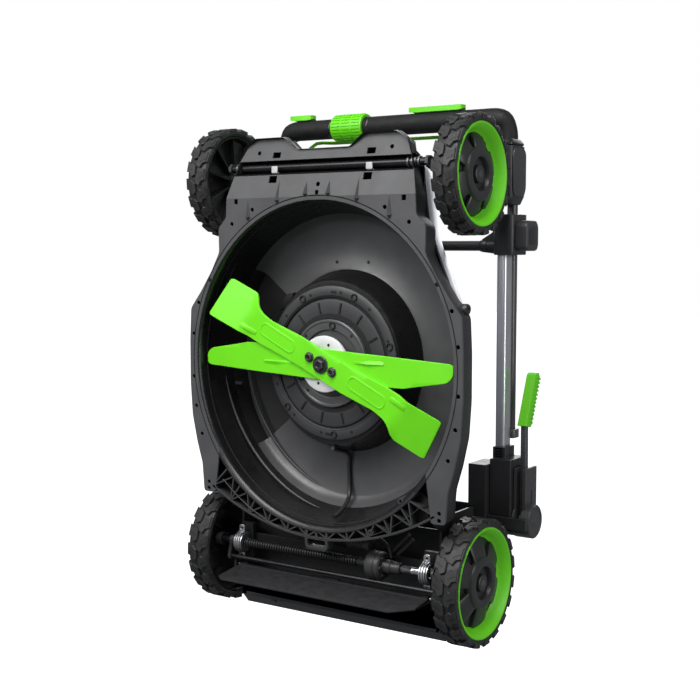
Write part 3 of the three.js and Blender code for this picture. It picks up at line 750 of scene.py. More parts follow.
def deck_side_wall():
    """The outer wall, from the flange up to the shroud."""
    edge = softened(deck_edge(), 6, 2)
    levels = [(0.6, 0.997), (0.1, 0.9995), (3.0, 1.0), (20, 0.998), (DECK_HEIGHT, 0.99), (DECK_HEIGHT, 0.93)]
    rings = [[(x, y, z) for x, z in scaled(edge, factor)] for y, factor in levels]
    return sliced(skin(rings, caps=False), (2, NOSE_Z)).changed(
        lambda point: nose_bend(point) if point.y < 20 else point)


def chamber_wall():
    """The wall as one revolved skin with rounded corners, from the rim down to the floor's outer corner."""
    profile = [(MOUTH_RADIUS + MOUTH_RIM, 1.5), (MOUTH_RADIUS + 9, -0.0), (MOUTH_RADIUS + 3, 0.6),
               (MOUTH_RADIUS - 1, 4), (MOUTH_RADIUS - 2.5, 12), (MOUTH_RADIUS - 3, 30),
               (FLOOR_RADIUS + 16, 66), (FLOOR_RADIUS + 11, 80), (FLOOR_RADIUS + 10, 82)]
    return lathe(profile, "Y", HUB, 128, CHAMBER_STRETCH)


TUNNEL = (math.radians(-52), math.radians(-129))  # the side chute leaves the chamber between these angles


def chamber_floor():
    """The ring round the hump with its rounded outer corner, open where the side chute leaves."""
    profile = [(FLOOR_RADIUS + 10, 82), (FLOOR_RADIUS + 6, 93), (FLOOR_RADIUS, 101),
               (FLOOR_RADIUS - 8, FLOOR_Y), (HUMP_BASE + 7, FLOOR_Y), (HUMP_BASE + 1, FLOOR_Y - 3)]
    return lathe(profile, "Y", HUB, 112, CHAMBER_STRETCH, TUNNEL[0], TAU + TUNNEL[1] - TUNNEL[0])


def chute_tunnel():
    """The deeper floor and side walls of the side chute."""
    sweep = TUNNEL[1] - TUNNEL[0]
    deep = FLOOR_Y + 7
    floor = lathe([(FLOOR_RADIUS + 10, 80), (FLOOR_RADIUS + 1, deep - 3), (FLOOR_RADIUS - 6, deep),
                   (HUMP_BASE - 2, deep), (HUMP_BASE - 3, FLOOR_Y - 6)], "Y", HUB, 24, CHAMBER_STRETCH,
                   TUNNEL[0], sweep)
    for angle in TUNNEL:
        near, far = mouth_point(HUMP_BASE + 2, angle), mouth_point(FLOOR_RADIUS + 2, angle)
        side_wall = [[(near[0], y, near[1]), (far[0], y, far[1])] for y in (FLOOR_Y - 0.5, deep)]
        floor.add(skin(side_wall, closed=False, caps=False))
    return floor


def chute_lip():
    """A raised block beside the hump, at the chute's upper corner."""
    corner = mouth_point(HUMP_BASE + 20, TUNNEL[0])
    return plate([(corner[0] - 14, corner[1] - 26), (corner[0] + 4, corner[1] - 16),
                  (corner[0] + 16, corner[1] + 6), (corner[0] - 2, corner[1] + 2)], (FLOOR_Y - 6, FLOOR_Y),
                  "XZ", (), 0.8)


def chamber_hump():
    profile = [(HUMP_BASE + 1, FLOOR_Y - 3), (HUMP_BASE - 3, FLOOR_Y - 9), (HUMP_TOP + 2, HUMP_Y + 6),
               (HUMP_TOP - 2, HUMP_Y + 0.5), (HUMP_TOP - 8, HUMP_Y), (118, HUMP_Y), (118, HUMP_Y + 30)]
    return lathe(profile, "Y", HUB, 128, CHAMBER_STRETCH)


def chamber_ridges():
    """Two raised lips that follow the chamber's rear left wall."""
    ridges = Form()
    for radius, y, first, last in ((258, 62, 188, 262), (232, 99, 196, 268)):
        route = []
        for share in (i / 24 for i in range(25)):
            angle = math.radians(first + (last - first) * share)
            x, z = mouth_point(radius - 6 * math.sin(share * math.pi), angle)
            route.append((x, y, z))
        ridges.add(tube(route, lambda share: 0.6 + 2.2 * math.sin(math.pi * share) ** 0.4, 8))
    return ridges


def rear_truss():
    """The open lattice between the chamber's mouth and the rear arch."""
    inner = MOUTH_RADIUS + MOUTH_RIM + 0.5
    web = Form()

    def strip(a, b, width):
        run = Vector((b[0] - a[0], b[1] - a[1])).normalized()
        side = Vector((-run.y, run.x)) * width / 2
        corners = [(a[0] - side.x, a[1] - side.y), (b[0] - side.x, b[1] - side.y),
                   (b[0] + side.x, b[1] + side.y), (a[0] + side.x, a[1] + side.y)]
        return skin([[(x, y, z) for x, z in corners] for y in (0.3, 20)])

    def rim(radius_rule, width):
        angles = arch_angles(60)
        far, near = ([arch_point(radius_rule(a) + grow, a) for a in angles] for grow in (width, 0))
        return plate([*far, *reversed(near)], (0.2, 26), "XZ", (), 0.4)

    def inner_radius(angle):
        """The stretched mouth's radius, looking straight back along angle."""
        return inner / math.hypot(math.sin(angle), math.cos(angle) / CHAMBER_STRETCH)

    web.add(rim(inner_radius, 3), rim(lambda a: arch_outer(a) - 4.5, 3.4))
    panels = arch_angles(11)
    for a, b in zip(panels, panels[1:]):
        middle = (a + b) / 2
        start, end = (arch_point(arch_outer(angle) - 3, angle) for angle in (a, b))
        tip, foot = (arch_point(inner_radius(angle) + 1, angle) for angle in (middle, a))
        web.add(strip(start, tip, 2.4), strip(tip, end, 2.4), strip(start, foot, 2.6))
    return web


def rear_truss_back():
    """The dark web behind the lattice, a near-black sheet: painted shade."""
    edge = [arch_point(arch_outer(angle) - 3, angle) for angle in arch_angles(40)]
    near = [arch_point(MOUTH_RADIUS + 12, angle) for angle in reversed(arch_angles(40))]
    return plate([*edge, *near], (19, 22), "XZ", (), 0.3)


def rear_bosses():
    """Screw bosses and the latch box behind the lattice."""
    boss = [(2.4, 6), (2.6, 1.2), (5.6, 1.2), (6.4, 3), (6.4, 20)]
    windows = [rounded(*window) for window in (((-22, 18), (25, 40), 5), ((-22, -4), (43, 58), 2),
                                               ((0, 18), (43, 58), 2))]
    latch_box = plate(rounded((-26, 22), (20, 62), 9), (1, 20), "XZ", windows, 0.6)
    return joined([*[lathe(boss, "Y", (x, 0, z), 24) for x, z in ((112, 66), (172, 128))], latch_box])


def louvre(x, z_tip, length):
    """A grass lifter: a wedge that starts flush at the front and ends in a step."""
    wide, tall = 5.2, 7.5
    z_top = z_tip + length
    points = [(x, 0.1, z_top), (x - wide, 0.2, z_tip + length * 0.15), (x + wide, 0.2, z_tip + length * 0.15),
              (x, -tall, z_tip + length * 0.12), (x, 0.2, z_tip)]
    faces = [(0, 1, 3), (0, 3, 2), (1, 4, 3), (4, 2, 3), (0, 2, 4, 1)]
    return Form(points, faces)


def nose_louvres():
    places = ((24, 641, 26), (84, 629, 42), (149, 599, 52))
    louvres = joined(louvre(side * x, z, length) for _, side in SIDES for x, z, length in places)
    return louvres.changed(nose_bend)


def nose_trough():
    """The half-round channel that the front axle lies in."""
    section = [(12, 681), (14, 682), (22, 682.5), (33, 685), (39, 694), (33, 703), (24, 705.5), (21, 706),
               (20, 707)]
    rings = [[(x, y, z) for y, z in section] for x in (-186, 186)]
    return skin(rings, closed=False, caps=False)


def motor_plate():
    """The plate under the motor: its raised rings, turned from three profiles."""
    profiles = ([(110, 45.4), (96, 45.0), (84, 45.6), (80, 46.5), (79.5, 55)],
                [(137, 49.4), (136.6, 46.2), (134, 45), (120, 44.6), (117.5, 45.6), (117, 50)],
                [(117, 50), (113.5, 50), (113, 46), (110, 45.4)])
    return joined(lathe(profile, "Y", HUB, 96) for profile in profiles)


def motor_plate_ring():
    """The paler ring round the blade adapter."""
    return lathe([(78, 52), (78, 39.6), (76.6, 38.4), (74, 38.6), (72, 40), (62, 40.4), (60, 41), (58, 44),
                  (50, 44.6), (16, 44.6)], "Y", HUB, 96)


def motor_plate_details():
    """Radial ribs and screw seats that stand on the motor plate."""
    ribs = cuboid((-1.6, 1.6), (43.2, 46), (90, 109)).moved(HUB).repeated(14, "Y", HUB, 0.2)
    seat = lathe([(4.2, 44.6), (4.6, 42.6), (6.4, 42.4), (7, 44.6)], "Y", sides=20)
    for radius, count, start, y in ((127.5, 7, 0.4, 0), (67.5, 3, 0.1, -4.6)):
        ribs.add(seat.moved(HUB + Vector((0, y, radius))).repeated(count, "Y", HUB, start))
    return ribs


def motor_plate_pits():
    """Dark screw pits, slots and grooves, drawn as flat black caps just proud of the plate: painted shade."""
    pits = Form()
    cup = lathe([(2.9, 0), (2.6, -0.4), (0.01, -0.425)], "Y", sides=14)
    for radius, count, start, y in ((127, 12, 0.17, 44.3), (86, 6, 0.5, 45.1), (69, 4, 0.75, 39.9)):
        pits.add(cup.moved(HUB + Vector((0, y, radius))).repeated(count, "Y", HUB, start))
    slot = plate(rounded((-6, 6), (124, 129), 2.3, 3), (44.2, 44.6), "XZ", (), 0.1).moved(HUB)
    pits.add(slot.repeated(4, "Y", HUB, 0.05))
    for groove in ([(113.2, 48.6), (117.3, 48.6)], [(79, 45.2), (88, 45.0)], [(118.4, 45.0), (120.6, 44.4)]):
        pits.add(lathe(groove, "Y", HUB, 96))
    return pits


def cut_pits(points, radius, y):
    """Shallow black caps that stand for blind holes at the given (x, z): painted shade."""
    cup = [(radius, 0), (radius * 0.9, -0.25), (0.01, -0.3)]
    return joined(lathe(cup, "Y", (x, y, z), 14) for x, z in points)


def make_deck():
    deck_flange().make("deck_flange", "deck", "grey", "deck_shell", sharp=12)
    # The chamber's wall and hump and the axle trough are drawn in gloss black, and the chamber floor in a
    # paler grey, though the underside is one grey plastic: painted shade and painted light. The chute tunnel
    # and the web behind the lattice are near-black painted shade.
    for build, look, sharp in ((deck_side_wall, "black", 35), (chamber_wall, "gloss_black", 60),
                               (chamber_floor, "floor", 50), (chamber_hump, "gloss_black", 40),
                               (chute_tunnel, "black_and_painted_shade", 40), (chute_lip, "black_and_painted_shade", 40),
                               (chamber_ridges, "dark", 70), (rear_truss, "dark", 38),
                               (rear_truss_back, "black_and_painted_shade", 38), (rear_bosses, "dark", 38),
                               (nose_louvres, "dark", 20), (nose_trough, "gloss_black", 50)):
        build().make(build.__name__, "deck", look, sharp=sharp)
    # A near-black sheet inside the deck shell: painted shade.
    openings = [circle(268, (0, SPINDLE.z), 64, CHAMBER_STRETCH),
                [(-170, 680), (170, 680), (170, 708), (-170, 708)]]
    backing = plate(scaled(deck_edge(), 0.985), (24, 25), "XZ", openings, 0.2)
    sliced(backing, (2, NOSE_Z)).changed(nose_bend).make("deck_inside", "deck", "black_and_painted_shade")
    # Black caps for screw holes in the chamber floor: painted shade.
    cut_pits([(-28, 526), (40, 526)], 3.2, FLOOR_Y - 0.2).make("floor_screw_holes", "deck", "black_and_painted_shade")
    motor_plate().make("motor_plate", "deck", "dark", "motor_mount", sharp=30)
    # The ring takes the paler copy of the grey plastic: painted light.
    motor_plate_ring().make("motor_plate_ring", "deck", "floor", sharp=30)
    motor_plate_details().make("motor_plate_ribs", "deck", "black_and_painted_shade", bevel=0.4)
    motor_plate_pits().make("motor_plate_pits", "deck", "black_and_painted_shade", sharp=50)
    profile = [(4, 252), (4, 262), (8.4, 262.6), (9.4, 264), (9.4, 272), (8, 274), (5, 274), (4.4, 272.4),
               (0.01, 272.4)]
    knob = lathe(profile, "X", (10, 28, 452), 28)
    knob.make("shroud_knob", "deck", "black", sharp=40)


make_deck()


# ---- cutter ----

BLADE_ANGLE = math.radians(-26.6)
BLADE_BOTTOM, BLADE_TOP = (corner.y for corner in box_of("lift_blade"))
MULCH_LOW, MULCH_HIGH = (corner.y for corner in box_of("mulch_blade"))


def smoothstep(value, start, end):
    share = min(1.0, max(0.0, (value - start) / (end - start)))
    return share * share * (3 - 2 * share)


def point_symmetric(half):
    return [*half, *[(-u, -v) for u, v in half]]


def blade_strip(outline, low, high):
    """A blade cut into cross strips, so that its ends can be bent."""
    cuts = [(0, 6 * i) for i in range(-46, 47)] + [(2, 15 * i) for i in range(-2, 3)]
    return sliced(plate(outline, (low, high), "XZ", (), 0.7), *cuts)


def lift_bend(point):
    """Each end is set over: its trailing edge rises and its leading edge drops."""
    end = smoothstep(abs(point.x), 160, 190)
    side = 1 if point.x > 0 else -1
    return point + Vector((0, end * (-1.0 - 0.2 * side * point.z), 0))


def lift_blade():
    half = [(40, 25), (100, 29), (134, 32.5), (190, 33), (250, 37), (257.5, 36), (250, -38), (245, -40.6),
            (190, -43), (184, -42.5), (176, -37), (170, -29), (163, -23), (152, -18.5), (130, -16), (60, -23)]
    blade = blade_strip(softened(point_symmetric(half), 5, 2), BLADE_BOTTOM, BLADE_TOP).changed(lift_bend)
    return blade.turned("Y", -BLADE_ANGLE).moved(HUB)


def lift_emboss():
    """Pressed stiffening beads along both arms."""
    shapes = (((62, 146), (-9, 17), 12, 5), ((64.5, 143.5), (-6.5, 14.5), 10, 5),
              ((150, 186), (16, 24), 3.4, 4))
    beads = Form()
    for side in (1, -1):
        bead, inside, tip = ([(side * u, side * v) for u, v in rounded(*shape)] for shape in shapes)
        beads.add(plate(bead, (BLADE_BOTTOM - 0.7, BLADE_BOTTOM + 0.5), "XZ", [inside], 0.3),
                  plate(tip, (BLADE_BOTTOM - 0.8, BLADE_BOTTOM + 0.4), "XZ", (), 0.3).changed(lift_bend))
    return beads.turned("Y", -BLADE_ANGLE).moved(HUB)


def mulch_bend(point):
    end = smoothstep(abs(point.x), 150, 230)
    side = 1 if point.x > 0 else -1
    return point + Vector((0, end * 0.06 * side * point.z, 0))


def mulch_blade():
    half = [(60, 23.5), (160, 18.5), (255, 13), (261, 10), (261.5, -4), (257, -12), (249, -17.5), (180, -29),
            (168, -31.5), (150, -31.5), (60, -30)]
    blade = blade_strip(softened(point_symmetric(half), 4, 2), MULCH_LOW, MULCH_HIGH).changed(mulch_bend)
    return blade.moved(HUB)


def mulch_lances():
    """A pressed fin on each arm: a long ridge that closes to a point."""
    fins = Form()
    for side in (1, -1):
        ring = []
        for share in (0, 0.06, 0.5, 0.94, 1):
            x = side * (66 + 62 * share)
            tall = 3.6 * math.sin(math.pi * min(0.9, max(0.06, share)))
            ring.append([(x, MULCH_LOW + 0.3, 0.0), (x, MULCH_LOW - tall, side * 2.6),
                         (x, MULCH_LOW + 0.3, side * 9)])
        fins.add(skin(ring))
    return fins.moved((0, 0, SPINDLE.z + 3))


def hex_head(radius, low, high, x, z, flange, shank):
    """A hexagon head with a chamfered face and a shallow dish, its washer flange and its shank."""
    rings = []
    for size, y in ((radius * 0.52, low + 0.9), (radius * 0.6, low), (radius * 0.9, low), (radius, low + 1.0),
                    (radius, high)):
        rings.append([(u, y, v) for u, v in circle(size, (x, z), 6)])
    washer = [(radius * 0.7, high - 1.2), (flange - 1, high - 1.2), (flange, high), (flange, high + 1.3)]
    return skin(rings).add(lathe(washer, "Y", (x, 0, z), 32), rod("Y", shank, (11, 25.4), (x, z)))


def make_cutter():
    lift_blade().dress("lift_blade", "lime_paint", sharp=25)
    lift_emboss().make("lift_blade_beads", "cutter", "lime_paint", sharp=40)
    mulch_blade().dress("mulch_blade", "lime_paint", sharp=25)
    mulch_lances().make("mulch_blade_fins", "cutter", "lime_paint", sharp=30)
    disc = [(12, 22.6), (30, 22.4), (31, 22.0), (47, 22.0), (49.5, 22.8), (50, 24), (50, 27.4), (12, 27.4)]
    lathe(disc, "Y", HUB, 96).make("blade_adapter_disc", "cutter", "white", "blade_adapter", sharp=40)
    # Black caps for the adapter's holes: painted shade.
    holes = cut_pits([(11, SPINDLE.z + 34), (-11, SPINDLE.z - 34)], 2.9, 21.9)
    holes.make("blade_adapter_holes", "cutter", "black_and_painted_shade", sharp=50)
    bolt = hex_head(10, 4.2, 10.8, 0, SPINDLE.z, 15.5, 6)
    bolt.make("blade_bolt_head", "cutter", "bolt", "blade_bolt", bevel=0.4)
    for name, _ in SIDES:
        node = f"blade_pin_{name}"
        centre = centre_of(node)
        pin = hex_head(7.4, 7, 11.6, centre.x, centre.z, 9, 4)
        pin.make(node + "_head", "cutter", "bolt", node, bevel=0.4)
    keep("rotor_shaft", "steel")
    keep("motor_stator", "copper")
    keep("controller", "black")
    cable = [(0, 50, 194.6), (1, 60, 192), (3, 76, 187.4), (4, 91, 182), (3, 99.5, 173), (1, 101, 158),
             (3, 99.5, 125), (7, 93, 104), (11, 78, 92.6), (14, 60, 84.6), (14, 46, 78.6), (12, 36, 75)]
    tube(spline(cable, 6), 3.9, 14).make("motor_lead", "deck", "black", "motor_cable", sharp=60)


make_cutter()


# ---- wheels ----

TREAD_HEIGHT, SIDEWALL = 4.6, 14
PITCHES = 19
PITCH = TAU / PITCHES
# Outlines in one pitch: share of the pitch round the wheel, share of the way from middle to shoulder
# (for SHOULDER from the tread down the side).
BLOCK = [(0.05, 1.0), (0.66, 1.0), (0.72, 0.66), (0.96, 0.42), (0.86, 0.05), (0.36, 0.05), (0.16, 0.40),
         (0.22, 0.62)]
SIPE = [(0.38, 0.95), (0.46, 0.95), (0.66, 0.30), (0.58, 0.30)]
SHOULDER = [(0.08, 0.0), (0.63, 0.0), (0.56, 1.0), (0.18, 1.0)]


def round_point(x, radius, angle):
    return Vector((x, radius * math.cos(angle), radius * math.sin(angle)))


def shrunk(outline, amount):
    """The outline drawn in towards its middle by a share."""
    mid = [sum(point[k] for point in outline) / len(outline) for k in (0, 1)]
    return [tuple(m + (c - m) * (1 - amount) for c, m in zip(point, mid)) for point in outline]


def lug(outline, levels, point_at):
    """A block drawn in a little towards its top; levels are (level, share drawn in)."""
    return skin([[point_at(level, along, across) for along, across in shrunk(outline, draw)]
                 for level, draw in levels])


def tread_lug(outline, middle, shoulder, low, high, phase):
    """A block that stands on the carcass between two radii."""
    def point_at(radius, along, across):
        return round_point(middle + (shoulder - middle) * across, radius, (phase + along) * PITCH)

    return lug(outline, ((low, -0.03), (high - 0.8, 0.0), (high, 0.07)), point_at)


def side_lug(face, outwards, low, high, phase):
    """A block on the tyre's side, between two radii."""
    def point_at(depth, along, across):
        return round_point(face + outwards * depth, high + (low - high) * across, (phase + along) * PITCH)

    return lug(SHOULDER, ((-2.2, -0.03), (-0.5, 0.0), (0.0, 0.12)), point_at)


def tyre(inner, face, radius, rim):
    """Carcass, two staggered rows of blocks, and lugs on both shoulders."""
    base = radius - TREAD_HEIGHT
    profile = [(rim, inner + 4), (rim + 2.5, inner + 1.6), (base - 5, inner + 1.0), (base - 0.8, inner + 2.6),
               (base, inner + 5), (base, face - 5), (base - 0.8, face - 2.6), (base - 5, face - 1.0),
               (rim + 2.5, face - 1.6), (rim, face - 2.4), (rim - 0.2, (face + inner) / 2), (rim, inner + 4)]
    whole = lathe(profile, "X", sides=96)
    middle = (inner + face) / 2
    for row, (edge, outwards) in enumerate(((face, 1), (inner, -1))):
        for i in range(PITCHES):
            phase = i + 0.5 * row
            shoulder = edge - outwards * 2.0
            whole.add(tread_lug(BLOCK, middle, shoulder, base - 1, radius - 0.05, phase))
            whole.add(side_lug(edge, outwards, rim + 3.2, radius - 2.6, phase))
    return whole


def tyre_slots(inner, face, radius):
    """Thin cuts drawn across the blocks as black strips standing just proud of them: painted shade."""
    return joined(tread_lug(SIPE, (inner + face) / 2, edge, radius - 1.5, radius + 0.03, i + 0.5 * row)
                  for row, edge in enumerate((face - 2.0, inner + 2.0)) for i in range(PITCHES))


def lime_rim(face, rim):
    profile = [(rim - 0.3, face - 12), (rim - 0.3, face - 2.4), (rim - 1.0, face - 1.3),
               (rim - 3.0, face - 1.0), (rim - 4.6, face - 1.8), (rim - 13.0, face - 14),
               (rim - 17.5, face - 21), (rim - 19, face - 21.6), (rim - 19, face - 23), (rim - 8, face - 13),
               (rim - 0.3, face - 12)]
    return lathe(profile, "X", sides=96)


LOBE_EDGE = 1.4  # a lobe's long edges lie this much deeper than its crown


def star_lobe(face, rim):
    """One of six lobes that lean from the rim in to the centre ring."""
    rings = []
    for radius, half_angle, depth in ((40, 27, 8.5), (46, 25, 9.0), (60, 21.5, 12.5), (rim - 22, 18.5, 16.5),
                                      (rim - 18.5, 16, 18.0), (rim - 17.4, 11, 19.5)):
        angles = [math.radians(half_angle) * share for share in (-1, -0.9, -0.45, 0, 0.45, 0.9, 1)]
        crown = [round_point(face - depth - (LOBE_EDGE if abs(a) == abs(angles[0]) else 0), radius, a)
                 for a in angles]
        floor = [round_point(face - depth - 6, radius, a) for a in reversed(angles)]
        rings.append([*crown, *floor])
    return skin(rings)


def star_cap(face, rim):
    """The cap's rings and centre, with its six lobes."""
    whole = lathe([(46, face - 14), (45, face - 7.5), (43.5, face - 5.4), (41, face - 4.4), (31, face - 4.1),
                   (29, face - 4.8), (27.6, face - 8), (26.4, face - 13), (15.6, face - 13.6),
                   (14.6, face - 7.4), (13, face - 6.2), (5, face - 6.2), (3.6, face - 8), (0.01, face - 8)],
                   "X", sides=72)
    return whole.add(star_lobe(face, rim).repeated(6, "X", (0, 0, 0), 0.26))


def hub_back(inner, face, rim, full_ribs):
    """The inner dish: rim lip, floor and axle boss, with ribs that leave room for a pinion."""
    floor = inner + 19
    whole = lathe([(rim - 0.4, face - 12.4), (rim - 0.4, inner + 5), (rim - 1.5, inner + 4.1),
                   (rim - 4, inner + 4.1), (rim - 5.5, inner + 6), (rim - 9, floor - 3), (rim - 14, floor),
                   (26, floor - 0.6), (22, floor - 3), (18.6, inner + 3), (17.4, inner + 2), (8, inner + 2),
                   (6.3, inner + 3.4), (6.3, floor)], "X", sides=72)
    whole.add(lathe([(rim - 18.8, face - 22.8), (44, face - 15.5)], "X", sides=72))
    spans = ((21, rim - 8),) if full_ribs else ((21, 37.5), (67, rim - 8))
    for low, high in spans:
        whole.add(cuboid((inner + 6.5, floor + 1), (-1.3, 1.3), (low, high)).repeated(10, "X", (0, 0, 0)))
    return whole


def make_wheel(name, driven):
    side = 1 if name.endswith("left") else -1
    low, high = box_of(name + "_tyre")
    inner, face = sorted(abs(x) for x in (low.x, high.x))
    radius = (high.z - low.z) / 2
    rim = radius - SIDEWALL
    centre = (0, (low.y + high.y) / 2, (low.z + high.z) / 2)
    turn_by = 0.35 if driven else 0.1

    def fit(form):
        return form.turned("X", turn_by).mirrored(side).moved(centre)

    fit(tyre(inner, face, radius, rim)).make(name + "_tread", name, "tyre", name + "_tyre", sharp=28)
    fit(tyre_slots(inner, face, radius)).make(name + "_tread_slots", name, "black_and_painted_shade")
    fit(lime_rim(face, rim)).make(name + "_lime_rim", name, "lime", sharp=40)
    fit(star_cap(face, rim)).make(name + "_star_cap", name, "black", sharp=32)
    fit(hub_back(inner, face, rim, not driven)).make(name + "_hub_back", name, "gloss_black", name + "_hub",
                                                     sharp=35)


for wheel_name in ("front_wheel_left", "front_wheel_right", "rear_wheel_left", "rear_wheel_right"):
    make_wheel(wheel_name, wheel_name.startswith("rear"))


# ---- front axle ----

def make_front_axle():
    refined("front_axle", "bolt", 0.8)
    pivot = Vector((0, 30, 694))
    collar = lathe([(7.1, -2.2), (8.8, -2), (9.2, 0), (8.8, 2), (7.1, 2.2)], "X", pivot, 28)
    collars = joined(collar.moved((x, 0, 0)) for x in (-192, -186, 170, 178, 184, 191))
    collars.make("front_axle_collars", "front_axle", "bolt", sharp=60)
    for name, _ in SIDES:
        node = f"front_axle_clip_{name}"
        low, high = box_of(node)
        x, z = (low.x + high.x) / 2, (low.z + high.z) / 2
        clip = plate(rounded((x - 6, x + 6), (z - 10, z + 1), 1.6), (low.y, low.y + 1.6), "XZ", (), 0.4)
        clip.add(cuboid((x - 4.5, x + 4.5), (low.y + 1, high.y), (z - 11, z - 9.5)))
        clip.make(node + "_spring", "deck", "clip", node, bevel=0.3)


make_front_axle()


# ---- rear axle, gearbox and drive ----

SHAFT_Y, SHAFT_Z = 42, 0


def round_shaft(profile):
    """Turned about the drive shaft; the profile is (radius, x)."""
    return lathe(profile, "X", (0, SHAFT_Y, SHAFT_Z), 40)


def ridged(start, end, pitch, high, low):
    """A corrugated profile between two places along the axis."""
    ridge = ((low, 0), (high, 0.15), (high, 0.65), (low, 0.8))
    count = int((end - start) / pitch)
    return [*[(radius, start + (i + share) * pitch) for i in range(count) for radius, share in ridge],
            (low, end)]


def bearing_clamp(side):
    ring = [(9.3, 193), (17, 193)]
    for x in (195, 200, 205):
        ring += [(17.4, x - 0.9), (20.2, x), (20.2, x + 1.8), (17.4, x + 2.6)]
    ring += [(17, 209), (9.3, 209), (9.3, 193)]
    clamp = round_shaft(ring)
    for end in (1, -1):
        ear = [(x, end * z) for x, z in rounded((195.5, 207.5), (17, 32), 4)]
        clamp.add(plate(ear, (39.6, 42.6), "XZ", [circle(3.2, (201.5, end * 26), 14)], 0.6))
    return clamp.mirrored(side)


def make_drive():
    sleeve = ridged(-192.5, 60, 5.6, 8.2, 6.1) + [(7.6, 62), (7.6, 87.6), (6.7, 87.6)]
    round_shaft(sleeve).make("axle_bellows", "deck", "black", "axle_sleeve", sharp=50)
    for name, side in SIDES:
        node = f"bearing_clamp_{name}"
        bearing_clamp(side).make(node + "_ring", "deck", "steel", node, sharp=50)
    drum = round_shaft([(6.8, 86), (19, 86), (23.4, 87.4), (24.4, 89.5), (24.4, 103), (23, 104), (23, 106),
                        (24.4, 107), (24.4, 113), (22, 116), (13, 116.4), (12, 118), (12, 131), (10.6, 132),
                        (10.6, 147), (9, 149.8), (6.8, 149.8), (6.8, 140)])
    drum.add(cuboid((96, 112), (56, 64.5), (-9, 13)))
    drum.add(*[rod("X", 3.2, (104, 118.5), (y, z), 14) for z, y in circle(17.5, (SHAFT_Z, SHAFT_Y), 6)])
    drum.make("gearbox_drum", "deck", "dark", "gearbox", sharp=32, bevel=0.3)
    can = ridged(37, 70, 3.6, 12.9, 11.6) + [(12.4, 72), (12.4, 80), (11, 82.5), (3, 83.8), (0.01, 83.8)]
    motor = joined(lathe(profile, "X", (0, 50, 32), 40) for profile in (can,
                                                                        [(11.6, 37), (10, 36.1),
                                                                         (0.01, 36.1)]))
    motor.make("drive_motor_can", "deck", "dark", "drive_motor", sharp=32)
    refined("drive_shaft", "bolt", 0.6)
    stub = round_shaft([(6.0, 150.4), (6.4, 150.8), (6.4, 170), (6.9, 170.5), (6.9, 176), (6.4, 176.5),
                        (6.4, 192.6), (6, 193)])
    stub.make("drive_shaft_stub", "drive_shaft", "steel", sharp=50)
    refined("rear_axle_carrier", "bolt", 0.8)
    routes = ([(128, 50, 26), (146, 47, 44), (164, 44, 62)], [(138, 50, 22), (155, 47, 38), (172, 44, 54)])
    joined(tube(route, 3.6, 14) for route in routes).make("motor_stays", "deck", "black", sharp=40)
    lead = spline([(84, 50, 36), (96, 52, 44), (112, 48, 40), (124, 44, 30), (128, 44, 16)], 6)
    tube(lead, 2.6, 12).make("drive_lead", "deck", "black", sharp=60)


make_drive()


# ---- rear housing, skirt and doors ----

HINGE_Y, HINGE_Z = 44, -44
SKIRT_LENGTH = 77.4


def make_skirt():
    slope = Vector((0, -78, -10)).normalized()
    normal = Vector((0, -slope.z, slope.y))
    hinge = Vector((0, HINGE_Y, HINGE_Z))

    def hang(point):
        """From (x, way down the skirt, way off it) to the mower's axes."""
        return hinge + Vector((point.x, 0, 0)) + slope * point.y + normal * point.z

    sheet = plate([(-205, 3), (205, 3), (205, SKIRT_LENGTH - 28), (168, SKIRT_LENGTH), (-192, SKIRT_LENGTH),
                   (-205, SKIRT_LENGTH - 10)], (-1.8, 1.8), "XY", (), 0.8)
    sheet.add(plate([(-204, 2), (204, 2), (204, 9), (-204, 9)], (-3.4, 3.4), "XY", (), 0.8))
    sheet.changed(hang).make("skirt_sheet", "skirt", "skirt", "trailing_skirt", sharp=40)
    wires = joined(rod("X", 2.2, span, (HINGE_Y, HINGE_Z), 16) for span in ((-216, -14), (14, 216)))
    wires.make("skirt_hinge_wire", "skirt", "steel", sharp=50)
    clips = joined(lathe([(2.4, x0), (4.6, x0), (4.9, x0 + 1), (4.9, x1 - 1), (4.6, x1), (2.4, x1)], "X",
                         hinge, 24)
                   for x0, x1 in ((-18, 18), (-204, -190), (190, 204)))
    clips.make("skirt_hinge_clips", "skirt", "black", sharp=40)


# The foot's lower edge runs from FOOT_HIGH_Z at FOOT_FROM_Y down to FOOT_LOW_Z at FOOT_TO_Y.
FOOT_FROM_Y, FOOT_TO_Y, FOOT_HIGH_Z, FOOT_LOW_Z, FOOT_SLOPE = 62, 78, -107, -126, 1.19


def make_rear_housing():
    def sloped_foot(point):
        """The lower edge reaches less far down on the side away from the deck."""
        reach = FOOT_HIGH_Z - (point.y - FOOT_FROM_Y) * FOOT_SLOPE
        return Vector((point.x, point.y, max(point.z, min(FOOT_HIGH_Z, max(FOOT_LOW_Z, reach)))))

    refined("rear_housing", "black", 0.9, rule=sloped_foot, cuts=[(1, FOOT_TO_Y)])
    ribs = joined(cuboid((x - 1.2, x + 1.2), (64, 99), (-106, -70)) for x in range(-172, 173, 86))
    ribs.make("rear_housing_ribs", "deck", "black", bevel=0.4)
    lip = cuboid((-208, 208), (60.5, 66), (-106.5, -101))
    lip.add(lathe([(0.01, 0), (5, 0), (6, 1), (6, 9), (5, 10), (0.01, 10)], "X", (-150, 66, -108), 20))
    lip.make("rear_housing_lip", "deck", "dark", bevel=0.6)
    side_ribs = joined(cuboid((212, 216), (76, 176), (z, z + 2.4)) for z in (-96, 34, 54)).both()
    side_ribs.make("rear_housing_side_ribs", "deck", "dark", bevel=0.4)


